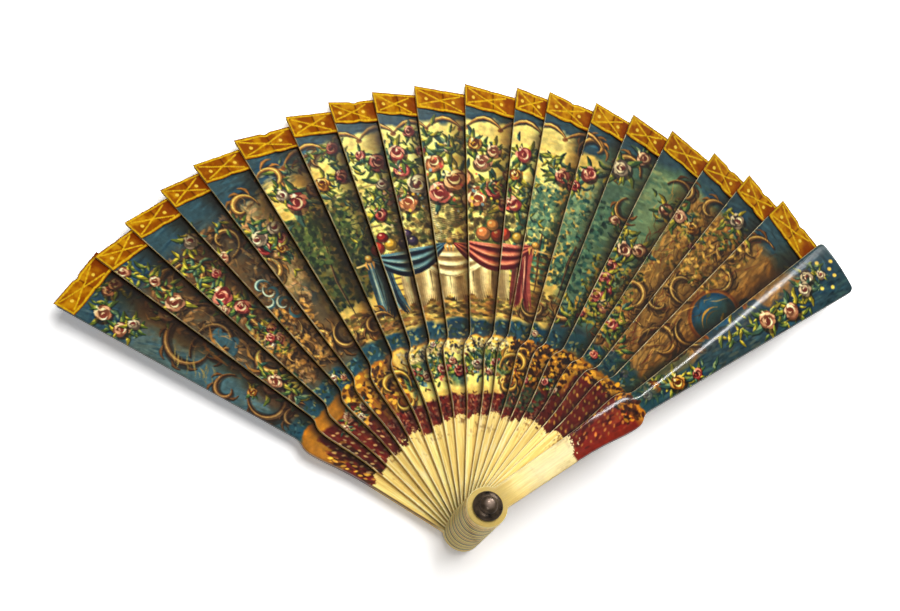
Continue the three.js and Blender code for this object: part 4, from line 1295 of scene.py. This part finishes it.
def bone_tones(form, at, own):
    """Bare bone: streaked along the stick, stained near the paint and darker at the head, with painted shade
    along one side and beside the next stick, and painted highlights on its rims and down the front guard.
    """
    index, across, far, mottle = form["index"], at["across"], at["far"], at["mottle"]
    bone = rgb(255, 222, 128) + (at["streak"][:, None] - 0.5) * rgb(44, 52, 56) * 1.1
    bone = blend_in(bone, rgb(250, 236, 184), ramp(at["streak"] + mottle, 1.15, 1.6) * 0.6)
    # Painted shade: the bone darkens towards one side of the stick.
    bone = blend_in(bone, rgb(206, 158, 66), ramp(across, 0.5, -2.4) * 0.3)
    # Painted shade: the bone darkens beside the next stick's edge.
    if index < LAST:
        bone = blend_in(bone, rgb(176, 124, 54), ramp(at["seen"], 0.80, 1.05) * 0.4)
    bone = blend_in(bone, rgb(136, 92, 40), ramp(mottle * at["fleck"], 0.40, 0.62) * ramp(far, 15, 20) * 0.8)
    bone = blend_in(bone, rgb(168, 140, 84), ramp(far, 7.5, 3.0) * 0.7)
    if index == LAST:
        # The front guard's shank is pale cream bone, with a painted highlight that makes it palest along its
        # middle.
        bone = blend_in(bone, rgb(242, 230, 184), ramp(far, 4, 12) * (0.8 - 0.12 * np.abs(across)))
        bone = blend_in(bone, rgb(204, 176, 92), ramp(far, 6.5, 3.2) * 0.6)
        bone = blend_in(bone, rgb(206, 178, 116), ramp(mottle, 0.6, 0.85) * 0.3)
    bone = bone * own.uniform(0.93, 1.03)
    # A painted highlight along each stick's left rim; on the rear guard, painted shade there instead.
    painted_rim_highlight_and_shade = rgb(112, 78, 36) if index == 0 else rgb(255, 244, 192)
    bone = blend_in(bone, painted_rim_highlight_and_shade, ramp(at["left_rim"], 0.24, 0.08) * 0.85)
    # A painted highlight along the rims of the heads.
    return blend_in(bone, rgb(250, 232, 160), ramp(at["near_rim"], 0.2, 0.1) * ramp(far, 7, 4))


def side_tones(form, at, height):
    """The sides: bone, older on some heads than on others, with painted shade at the foot of each head."""
    index, far = form["index"], at["far"]
    side = rgb(255, 210, 116) * (0.84 + 0.22 * at["streak"][:, None])
    head_tone = rgb(255, 204, 104) * HEAD_AGE[index % len(HEAD_AGE)]
    side = blend_in(side, head_tone, ramp(far, 12, 6) * (index < LAST))
    if form["is_guard"]:
        side = blend_in(side, rgb(50, 34, 24), ramp(far, 19, 22))
    # Painted shade: a dark line at the foot of each head's side, where it meets the head below.
    foot = ramp(height, 0.30, 0.12) * ramp(far, 12, 6) * (index > 0)
    return blend_in(side, rgb(58, 38, 14), foot)


def paint_cover(form, at, own):
    """How much paint lies on the front: none on the shank, and less where the blade's edge is worn."""
    index, across, mottle, fleck = form["index"], at["across"], at["mottle"], at["fleck"]
    ragged = 2.4 if index == LAST else 1.0
    border = PAINT_BORDER + own.uniform(-0.7, 0.7) + ((fleck - 0.5) * 1.2 + (mottle - 0.5) * 2.0) * ragged
    worn_width = np.where(across > 0, 0.10 + 0.10 * fleck, 0.03) * (0.4 if index == 0 else 1.0)
    lost = ramp(worn_width - at["near_rim"], 0.0, 0.06) * (0.5 + 0.5 * ramp(mottle, 0.3, 0.5))
    if form["is_guard"]:
        lost = lost * (0.3 + 0.7 * (across > 0) * (index == LAST))
    return ramp(at["far"], border - 0.08, border + 0.08) * (1 - lost)


def stick_colours(points, front, form):
    """Colour of each point of a stick and how much paint lies there, from 0 for bare bone to 1."""
    own = np.random.default_rng(100 + form["index"])
    at = survey(points, form)
    bone = bone_tones(form, at, own)
    painted = paint_cover(form, at, own) * front
    edge_bone = rgb(208, 190, 142) * (0.66 + 0.44 * at["streak"][:, None])
    bare = np.where(at["far"][:, None] > BONE_END, edge_bone, bone)
    under = np.where(front[:, None] > 0.5, bare, side_tones(form, at, points[:, 2]))
    colour = under + painted[:, None] * (face_tones(form, at) - under)
    return np.clip(colour, 0, 255), painted


def finish_stick(form):
    """Copies the blank for this stick, paints it and moves it to its place on the pin."""
    source = blanks.get(form["index"], blanks[1])
    mesh = source.data.copy()
    mesh.name = form["name"] + "_lacquered"
    points = read_points(mesh)
    front = np.empty(len(points), np.float32)
    mesh.attributes["front"].data.foreach_get("value", front)
    colour, painted = stick_colours(points, front, form)
    layer = mesh.color_attributes.new("paint", "FLOAT_COLOR", "POINT")
    stored = np.column_stack([to_linear(colour), painted]).astype(np.float32)
    layer.data.foreach_set("color", stored.ravel())
    loops = np.empty(len(mesh.loops), np.int32)
    mesh.loops.foreach_get("vertex_index", loops)
    uv = mesh.uv_layers.get("UVMap") or mesh.uv_layers.new(name="UVMap")
    flat = points[loops, :2] / MAP_SPAN + np.array([0.1, 0.1 + 0.04 * form["index"]])
    uv.data.foreach_set("uv", flat.astype(np.float32).ravel())
    for face in mesh.polygons:
        if face.normal.z < BACK_FACING and face.center.z < form["thick"] * 0.5:
            face.material_index = 1
    mesh.transform(place_of(form["base"], form["azimuth"]))
    stick = bpy.data.objects.new(form["name"] + "_lacquered", mesh)
    scene.collection.objects.link(stick)
    return stick


sticks = [finish_stick(form) for form in forms]
for blank in blanks.values():
    bpy.data.objects.remove(blank)
print("painted", len(sticks), "sticks")

# %% [markdown]
# Old lacquer is never one flat colour: it is crazed with fine cracks, and brush marks show in its gloss.
# The paint comes from the stick's own colour attribute, whose alpha says where bare bone shows. Bone is
# less glossy and has fine grain along the stick, so its nodes read the stick's own map.

# %% Lacquer and bone
def mixed(tree, mode, factor, first, second):
    """A colour mix node, with a number or a socket as its factor."""
    mix = node(tree, "Mix")
    mix.data_type = "RGBA"
    mix.blend_type = mode
    for socket, value in ((mix.inputs[0], factor), (mix.inputs[6], first), (mix.inputs[7], second)):
        if isinstance(value, bpy.types.NodeSocket):
            link(tree, value, socket)
        else:
            socket.default_value = value
    return mix.outputs[2]


def tinted(red, green, blue):
    """A colour for a socket, from the tones of a screen."""
    return (*to_linear(np.array([red, green, blue], float)), 1.0)


def remap(tree, value, low, high, out_low, out_high):
    made = node(tree, "MapRange", From_Min=low, From_Max=high, To_Min=out_low, To_Max=out_high)
    link(tree, value, made.inputs["Value"])
    return made.outputs["Result"]


def stretched(tree, coordinates, scale):
    mapping = node(tree, "Mapping", Scale=scale)
    link(tree, coordinates, mapping.inputs["Vector"])
    return mapping.outputs["Vector"]


def noise(tree, coordinates, scale, detail=4.0, roughness=0.6):
    made = node(tree, "TexNoise", Scale=scale, Detail=detail, Roughness=roughness)
    link(tree, coordinates, made.inputs["Vector"])
    return made.outputs["Fac"]


def cracks(tree, coordinates, scale):
    made = node(tree, "TexVoronoi", Scale=scale)
    made.feature = "DISTANCE_TO_EDGE"
    link(tree, coordinates, made.inputs["Vector"])
    return made.outputs["Distance"]


def bumped(tree, height, strength, distance, base=None):
    made = node(tree, "Bump", Strength=strength, Distance=distance)
    link(tree, height, made.inputs["Height"])
    if base is not None:
        link(tree, base, made.inputs["Normal"])
    return made.outputs["Normal"]


def colour_noise(tree, coordinates, scale):
    made = node(tree, "TexNoise", Scale=scale, Detail=2.0)
    link(tree, coordinates, made.inputs["Vector"])
    return made.outputs["Color"]


def smooth(piece, degrees):
    """Shades a piece smooth wherever its faces meet at less than so many degrees."""
    bpy.ops.object.select_all(action="DESELECT")
    piece.select_set(True)
    bpy.context.view_layer.objects.active = piece
    bpy.ops.object.shade_smooth_by_angle(angle=math.radians(degrees))


def lacquer_on_bone():
    material, tree, output = new_material("lacquer_on_bone")
    own = node(tree, "VertexColor")
    own.layer_name = "paint"
    map_node = node(tree, "UVMap")
    map_node.uv_map = "UVMap"
    own_map = map_node.outputs["UV"]
    brush_marks = noise(tree, stretched(tree, own_map, (260, 900, 1)), 1.0)
    bone_grain = noise(tree, stretched(tree, own_map, (60, 600, 1)), 1.0, 5.0)
    warped = mixed(tree, "LINEAR_LIGHT", 0.05, own_map, colour_noise(tree, own_map, 90.0))
    crazing = cracks(tree, warped, 70.0)
    crack_line = remap(tree, crazing, 0.0, 0.035, 0.0, 1.0)
    tone = remap(tree, brush_marks, 0.3, 0.7, 0.92, 1.08)
    dark_line = remap(tree, crack_line, 0.0, 1.0, 0.80, 1.0)
    varied = mixed(tree, "MULTIPLY", 1.0, own.outputs["Color"], tone)
    crazed = mixed(tree, "MULTIPLY", own.outputs["Alpha"], varied, dark_line)
    lacquer = node(tree, "BsdfPrincipled", Specular_IOR_Level=0.12, Coat_Weight=0.8, Coat_Roughness=0.11)
    link(tree, crazed, lacquer.inputs["Base Color"])
    rough = remap(tree, noise(tree, own_map, 120.0), 0.3, 0.7, 0.26, 0.44)
    link(tree, rough, lacquer.inputs["Roughness"])
    relief = bumped(tree, brush_marks, 0.15, 0.0001)
    relief = bumped(tree, crack_line, 0.12, 0.00006, relief)
    link(tree, relief, lacquer.inputs["Normal"])
    link(tree, bumped(tree, brush_marks, 0.05, 0.0001), lacquer.inputs["Coat Normal"])
    grain_tone = remap(tree, bone_grain, 0.3, 0.7, 0.88, 1.08)
    bone = node(tree, "BsdfPrincipled", Specular_IOR_Level=0.3, Subsurface_Weight=0.05,
                Subsurface_Scale=0.001)
    link(tree, mixed(tree, "MULTIPLY", 1.0, own.outputs["Color"], grain_tone), bone.inputs["Base Color"])
    link(tree, remap(tree, bone_grain, 0.3, 0.7, 0.34, 0.52), bone.inputs["Roughness"])
    link(tree, bumped(tree, bone_grain, 0.25, 0.0001), bone.inputs["Normal"])
    finish = either(tree, own.outputs["Alpha"], bone.outputs[0], lacquer.outputs[0])
    link(tree, finish, output.inputs["Surface"])
    return material


BAND_SPAN = 100.0


def back_lacquer():
    """The back of each stick: plain teal lacquer with gilt bands, bare bone near the pin."""
    material, tree, output = new_material("back_lacquer")
    place = node(tree, "TexCoord")
    to_pin = node(tree, "Mapping")
    to_pin.vector_type = "POINT"
    to_pin.inputs["Rotation"].default_value = pin_turn.inverted().to_euler()
    link(tree, place.outputs["Object"], to_pin.inputs["Vector"])
    split = node(tree, "SeparateXYZ")
    link(tree, to_pin.outputs["Vector"], split.inputs[0])
    flat = node(tree, "CombineXYZ")
    link(tree, split.outputs["X"], flat.inputs["X"])
    link(tree, split.outputs["Y"], flat.inputs["Y"])
    length = node(tree, "VectorMath")
    length.operation = "LENGTH"
    link(tree, flat.outputs[0], length.inputs[0])
    wander = remap(tree, noise(tree, place.outputs["Object"], 400.0), 0.0, 1.0, -0.0008, 0.0008)
    shifted = node(tree, "Math")
    shifted.operation = "ADD"
    link(tree, length.outputs["Value"], shifted.inputs[0])
    link(tree, wander, shifted.inputs[1])
    bands = node(tree, "ValToRGB")
    bands.color_ramp.interpolation = "LINEAR"
    stops = [(0.0, (226, 196, 128)), (20.4, (226, 196, 128)), (20.8, (92, 28, 28)), (26.4, (92, 28, 28)),
             (26.8, (170, 116, 34)), (36.8, (176, 124, 40)), (37.2, (34, 76, 106)), (79.0, (40, 80, 100)),
             (80.2, (178, 130, 48)), (81.4, (178, 130, 48)), (82.0, (34, 76, 106)), (95.0, (30, 68, 96))]
    while len(bands.color_ramp.elements) < len(stops):
        bands.color_ramp.elements.new(0.5)
    for element, (radius, tone) in zip(bands.color_ramp.elements, stops):
        element.position = radius / BAND_SPAN
        element.color = tinted(*tone)
    link(tree, remap(tree, shifted.outputs[0], 0.0, BAND_SPAN * MM, 0.0, 1.0), bands.inputs[0])
    mottle = remap(tree, noise(tree, place.outputs["Object"], 260.0, 8.0), 0.3, 0.7, 0.6, 1.25)
    relief = bumped(tree, noise(tree, place.outputs["Object"], 900.0), 0.2, 0.0001)
    coated = node(tree, "BsdfPrincipled", Roughness=0.38, Coat_Weight=0.25, Coat_Roughness=0.15)
    link(tree, mixed(tree, "MULTIPLY", 1.0, bands.outputs[0], mottle), coated.inputs["Base Color"])
    link(tree, relief, coated.inputs["Normal"])
    link(tree, coated.outputs[0], output.inputs["Surface"])
    return material


front_finish = lacquer_on_bone()
back_finish = back_lacquer()
for form, stick in zip(forms, sticks):
    stick.data.materials.append(front_finish)
    stick.data.materials.append(back_finish)
    smooth(stick, 35)
    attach(stick, form["name"])
    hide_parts(form["name"])
print("finishes on", len(sticks), "sticks")

# %% [markdown]
# The ribbon is gilt paper. Each length lies on the tip of one stick, rises over a crease in its middle and
# goes under the next stick. It could be a plane with a picture, but its crease and its thickness catch the
# light, so it is a thin solid: a grid bent to its path, then extruded to the paper's thickness.

# %% Ribbons
RIBBON_WIDTH, RIBBON_THICK, RIBBON_LIFT, RIBBON_RISE = 4.9, 0.15, 0.1, 0.2
RIBBON_TUCK, RIBBON_OVERHANG = 1.2, 0.15
KINKS = {0: 5, 5: 7, 7: 16, 12: 9, 16: 3, 17: 6, 18: 12}


def ribbon_places(form, following):
    """Points of one ribbon's underside, along it and across it, in its stick's place."""
    own = np.random.default_rng(300 + form["index"])
    reach = form["reach"] + RIBBON_OVERHANG
    half = math.radians(form["half_angle"])
    left = reach * np.array([math.cos(half), math.sin(half)])
    slant = math.radians(form["slant"])
    along = np.array([-math.sin(slant), -math.cos(slant)])
    inward = -left / np.linalg.norm(left)
    turn = form["azimuth"] + form["half_angle"] - following["azimuth"] - following["half_angle"]
    length = reach * math.sin(math.radians(turn)) + RIBBON_TUCK
    u = np.linspace(0, 1, detail(80, 40))[:, None] * length
    v = np.linspace(0, 1, detail(34, 18))[None, :]
    crease = length * 0.5
    kink = math.radians(KINKS.get(form["index"], 0))
    past = np.maximum(u - crease, 0)
    pinch = 0.10 + 0.25 * (kink > 0.05)
    dip = pinch * np.exp(-((u - crease) / 0.7) ** 2)
    outer = past * math.tan(kink) * 0.35 - dip
    wide = RIBBON_WIDTH - dip * 1.6 + 0.06 * np.sin(u * 1.3 + own.uniform(0, 6))
    down = v * wide - outer
    x = left[0] + along[0] * u + inward[0] * down
    y = left[1] + along[1] * u + inward[1] * down
    first = np.clip(u / crease, 0, 1)
    rise = RIBBON_RISE * (first ** 2 * 0.9 + 0.1 * first) + 0.03 * np.sin(u * 2.1 + own.uniform(0, 6)) * first
    ridge = 0.06 * np.exp(-((u - crease) / 0.22) ** 2)
    face = form["thick"] - TIP_THINNING + RIBBON_LIFT
    z = face + rise + ridge + 0.03 * np.sin(v * math.pi)
    return np.stack([x, y, z], -1), length


def ribbon_colours(u, v, length, index):
    """Gilt paper with painted borders, a cross and dots, and painted shade at the crease, the edges and the
    tuck;
    u and v in millimetres along and across.
    """
    own = np.random.default_rng(500 + index)
    visible = length - RIBBON_TUCK
    colour = np.tile(rgb(178, 110, 4), (len(u), 1))
    patch = sample(blotches, u * 2 - 60 + index * 6, v * 2 + 20)
    fine = sample(bristles, u - 60 + index * 7, v + 30)
    colour = blend_in(colour, rgb(134, 62, 4), ramp(patch, 0.36, 0.74) * 0.8)
    colour = blend_in(colour, rgb(212, 156, 18), ramp(1 - patch, 0.5, 0.9) * 0.6)
    # Painted shade along the crease.
    colour = blend_in(colour, rgb(92, 40, 4), np.exp(-((u - length * 0.5) / 0.16) ** 2) * 0.8)
    # Painted shadow where the ribbon goes under the next stick.
    colour = blend_in(colour, rgb(122, 46, 6), ramp(u, visible * 0.72, visible * 1.0) * 0.9)
    rim = np.minimum(np.minimum(v, RIBBON_WIDTH - v), u)
    # Painted shade: a dark line round the ribbon's edges.
    colour = blend_in(colour, rgb(104, 48, 6), ramp(0.16 - rim, 0, 0.08) * 0.8)

    def line(start, end, width, tone):
        nonlocal colour
        away = nearest(u, v, start, np.array(end) - np.array(start))[1]
        cover = np.clip((width / 2 * (0.7 + 0.5 * fine) - away) / 0.09 + 0.5, 0, 1)
        colour = blend_in(colour, tone * (0.85 + 0.25 * fine[:, None]), cover)

    bright, pale = rgb(222, 174, 24), rgb(240, 202, 66)
    for level in (0.38, RIBBON_WIDTH - 0.42):
        line((0.2, level + own.uniform(-0.1, 0.1)), (visible, level + own.uniform(-0.1, 0.1)), 0.42, bright)
    line((0.24, 0.4), (0.24, RIBBON_WIDTH - 0.4), 0.34, bright * 0.94)
    low, high = 0.9, visible * own.uniform(0.80, 0.9)
    line((low, 0.8), (high, RIBBON_WIDTH - 0.85), 0.34, bright)
    line((low + own.uniform(-0.3, 0.3), RIBBON_WIDTH - 0.85), (high, 0.85), 0.34, bright)
    middle = (low + high) / 2
    for side, height in ((-0.27, 0.52), (0.27, 0.5)):
        dot = middle + visible * side
        away = np.hypot(u - dot - own.uniform(-0.15, 0.15), v - RIBBON_WIDTH * height)
        colour = blend_in(colour, pale, np.clip((0.36 - away) / 0.1 + 0.5, 0, 1))
    return np.clip(colour * np.interp(index, [10, 15], [1.0, 0.89]), 0, 255)


def make_ribbon(form, following):
    name = f"ribbon_{form['index'] + 1:02d}_gilt"
    places, length = ribbon_places(form, following)
    ribbon = grid_sheet(name, places)
    mesh = ribbon.data
    extrude_all(RIBBON_THICK)
    turn_outwards()
    share = np.empty(len(mesh.vertices) * 3, np.float32)
    mesh.attributes["share"].data.foreach_get("vector", share)
    run = share.reshape(-1, 3).astype(float) * (length, RIBBON_WIDTH, 0)
    colour = ribbon_colours(run[:, 0], run[:, 1], length, form["index"])
    layer = mesh.color_attributes.new("gilding", "FLOAT_COLOR", "POINT")
    stored = np.column_stack([to_linear(colour), np.ones(len(run))]).astype(np.float32)
    layer.data.foreach_set("color", stored.ravel())
    mesh.transform(place_of(form["base"], form["azimuth"]))
    mesh.update()
    return ribbon


def gilt_paper():
    material, tree, output = new_material("gilt_paper")
    own = node(tree, "VertexColor")
    own.layer_name = "gilding"
    place = node(tree, "TexCoord")
    fibres = noise(tree, place.outputs["Object"], 1600.0, 6.0)
    smear = noise(tree, place.outputs["Object"], 420.0, 3.0)
    paper_skin = node(tree, "BsdfPrincipled", Specular_IOR_Level=0.06)
    tone = remap(tree, fibres, 0.3, 0.7, 0.9, 1.08)
    link(tree, mixed(tree, "MULTIPLY", 1.0, own.outputs["Color"], tone), paper_skin.inputs["Base Color"])
    link(tree, remap(tree, smear, 0.3, 0.7, 0.28, 0.55), paper_skin.inputs["Roughness"])
    relief = bumped(tree, fibres, 0.25, 0.00008)
    link(tree, bumped(tree, smear, 0.35, 0.0003, relief), paper_skin.inputs["Normal"])
    link(tree, paper_skin.outputs[0], output.inputs["Surface"])
    return material


gilt_finish = gilt_paper()
for form, following in zip(forms[:-1], forms[1:]):
    ribbon = make_ribbon(form, following)
    ribbon.data.materials.append(gilt_finish)
    smooth(ribbon, 40)
    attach(ribbon, form["name"])
    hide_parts(f"ribbon_{form['index'] + 1:02d}")
print("ribbons:", LAST)

# %% [markdown]
# The rivet is a metal pin. Its ends are hammered into domed buttons, each over a round collar. Turned parts
# like these are quickest as half a profile that is spun about the pin's axis.

# %% Rivet and collars
PIN_RADIUS, BUTTON_RADIUS, FOOT_RADIUS, COLLAR_RADIUS = 1.2, 1.75, 1.0, 2.9
FRONT_BUTTON, REAR_BUTTON, COLLAR_EDGE, COLLAR_BORE = 0.9, 0.45, 0.35, 1.3
FRONT_BUTTON_BASE = FRONT_COLLAR_BASE + COLLAR_HEIGHT + SEAT_GAP
SPIN_STEPS = 72


def dome_side(radius, flat, base, height, steps=12):
    last = math.acos(flat / radius)
    angles = np.linspace(0, last, steps)
    return [(radius * math.cos(a), base + height * math.sin(a) / math.sin(last)) for a in angles]


def spun(name, profile):
    """Draws a half profile of radius and height from one point on, and spins it about the pin's axis."""
    bpy.ops.object.select_all(action="DESELECT")
    bpy.ops.mesh.primitive_plane_add(size=0.1, location=(0, 0, 0))
    turned = bpy.context.object
    turned.name = name
    turned.data.name = name
    bpy.ops.object.mode_set(mode="EDIT")
    bpy.ops.mesh.select_mode(type="VERT")
    bpy.ops.mesh.select_all(action="SELECT")
    bpy.ops.mesh.merge(type="CENTER")
    bpy.ops.transform.translate(value=(profile[0][0], 0, profile[0][1]))
    for (radius, height), (next_radius, next_height) in zip(profile, profile[1:]):
        step = (next_radius - radius, 0, next_height - height)
        bpy.ops.mesh.extrude_vertices_move(TRANSFORM_OT_translate={"value": step})
    bpy.ops.mesh.select_all(action="SELECT")
    bpy.ops.mesh.spin(steps=SPIN_STEPS, angle=2 * math.pi, center=(0, 0, 0), axis=(0, 0, 1))
    bpy.ops.mesh.select_all(action="SELECT")
    bpy.ops.mesh.remove_doubles(threshold=0.0005)
    turn_outwards()
    return turned


def rounded_ring(profile, radius=0.06):
    """Cuts each sharp corner of a profile into a small round of three points."""
    points = [np.array(p, float) for p in profile]
    out = [points[0]]
    for before, here, after in zip(points[:-2], points[1:-1], points[2:]):
        back, on = before - here, after - here
        small = min(radius, np.linalg.norm(back) * 0.4, np.linalg.norm(on) * 0.4)
        start = here + back / np.linalg.norm(back) * small
        end = here + on / np.linalg.norm(on) * small
        out += [start, (start + end) / 4 + here / 2, end]
    return [tuple(p) for p in out + [points[-1]]]


collar_profile = [(COLLAR_BORE, 0.3), (COLLAR_BORE, 0.0), (COLLAR_RADIUS - COLLAR_EDGE, 0.0),
                  *dome_side(COLLAR_RADIUS, BUTTON_RADIUS, COLLAR_EDGE, COLLAR_HEIGHT - COLLAR_EDGE),
                  (COLLAR_BORE, COLLAR_HEIGHT), (COLLAR_BORE, 0.3)]
foot_side = dome_side(BUTTON_RADIUS, FOOT_RADIUS, REAR_BUTTON, -REAR_BUTTON)[::-1]
cap_side = dome_side(BUTTON_RADIUS, 0.0, FRONT_BUTTON_BASE, FRONT_BUTTON, 14)
pin_profile = [(0.0, 0.0), *foot_side, (PIN_RADIUS, REAR_BUTTON), (PIN_RADIUS, FRONT_BUTTON_BASE),
               *cap_side[:-1], (0.0, FRONT_BUTTON_BASE + FRONT_BUTTON)]
front_collar = spun("front_collar_turned", rounded_ring(collar_profile))
rear_collar = spun("rear_collar_turned", rounded_ring(collar_profile))
rivet_pin = spun("rivet_pin_turned", rounded_ring(pin_profile, 0.05))
front_collar.data.transform(place_of(FRONT_COLLAR_BASE, 0))
flipped = Matrix.Rotation(math.pi, 4, "X")
rear_collar.data.transform(place_of(REAR_COLLAR_BASE + COLLAR_HEIGHT, 0) @ flipped)
rivet_pin.data.transform(place_of(0, 0))
print("spun pieces:", front_collar.name, rear_collar.name, rivet_pin.name)

# %% [markdown]
# The metal has gone dark brown with age. It has fine scratches and small pits. A paler spot near the top
# of the front dome is a painted highlight.

# %% Dark metal
# Place and size of the painted highlight on the front dome.
PAINTED_HIGHLIGHT_PLACE = Vector((3.8, 4.6, 29.1)) * MM
PAINTED_HIGHLIGHT_CORE, PAINTED_HIGHLIGHT_RIM = 0.1 * MM, 1.2 * MM


def dark_metal():
    material, tree, output = new_material("dark_metal")
    place = node(tree, "TexCoord")
    wear = noise(tree, place.outputs["Object"], 700.0, 6.0, 0.65)
    pits = noise(tree, place.outputs["Object"], 2400.0, 3.0)
    tone = node(tree, "ValToRGB")
    for element, position, colour in zip(tone.color_ramp.elements, (0.32, 0.72),
                                         ((32, 26, 22), (104, 86, 68))):
        element.position = position
        element.color = tinted(*colour)
    link(tree, wear, tone.inputs[0])
    # A painted highlight: a paler spot near the top of the front dome.
    from_crown = node(tree, "VectorMath")
    from_crown.operation = "DISTANCE"
    from_crown.inputs[1].default_value = PAINTED_HIGHLIGHT_PLACE
    link(tree, place.outputs["Object"], from_crown.inputs[0])
    painted_highlight = remap(tree, from_crown.outputs["Value"], PAINTED_HIGHLIGHT_CORE, PAINTED_HIGHLIGHT_RIM, 0.75, 0.0)
    highlighted_tone = mixed(tree, "MIX", painted_highlight, tone.outputs[0], tinted(206, 178, 158))
    metal = node(tree, "BsdfPrincipled", Metallic=0.65)
    link(tree, highlighted_tone, metal.inputs["Base Color"])
    link(tree, remap(tree, wear, 0.3, 0.7, 0.24, 0.4), metal.inputs["Roughness"])
    relief = bumped(tree, pits, 0.2, 0.00004)
    link(tree, bumped(tree, wear, 0.12, 0.0001, relief), metal.inputs["Normal"])
    link(tree, metal.outputs[0], output.inputs["Surface"])
    return material


metal_finish = dark_metal()
turned_pieces = {"front_collar": front_collar, "rear_collar": rear_collar, "rivet_pin": rivet_pin}
for cad_node, piece in turned_pieces.items():
    piece.data.materials.append(metal_finish)
    smooth(piece, 50)
    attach(piece, "rear_guard")
    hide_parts(cad_node)
print("metal on the rivet")

# %% [markdown]
# The box of the visual pieces is printed, like the CAD model's box at the start, so that the two can be
# compared. The pieces must not reach past the CAD model.

# %% Box of the visual pieces
low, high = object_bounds()
print("visual box in mm:", [round(v * 1000, 1) for v in high - low])
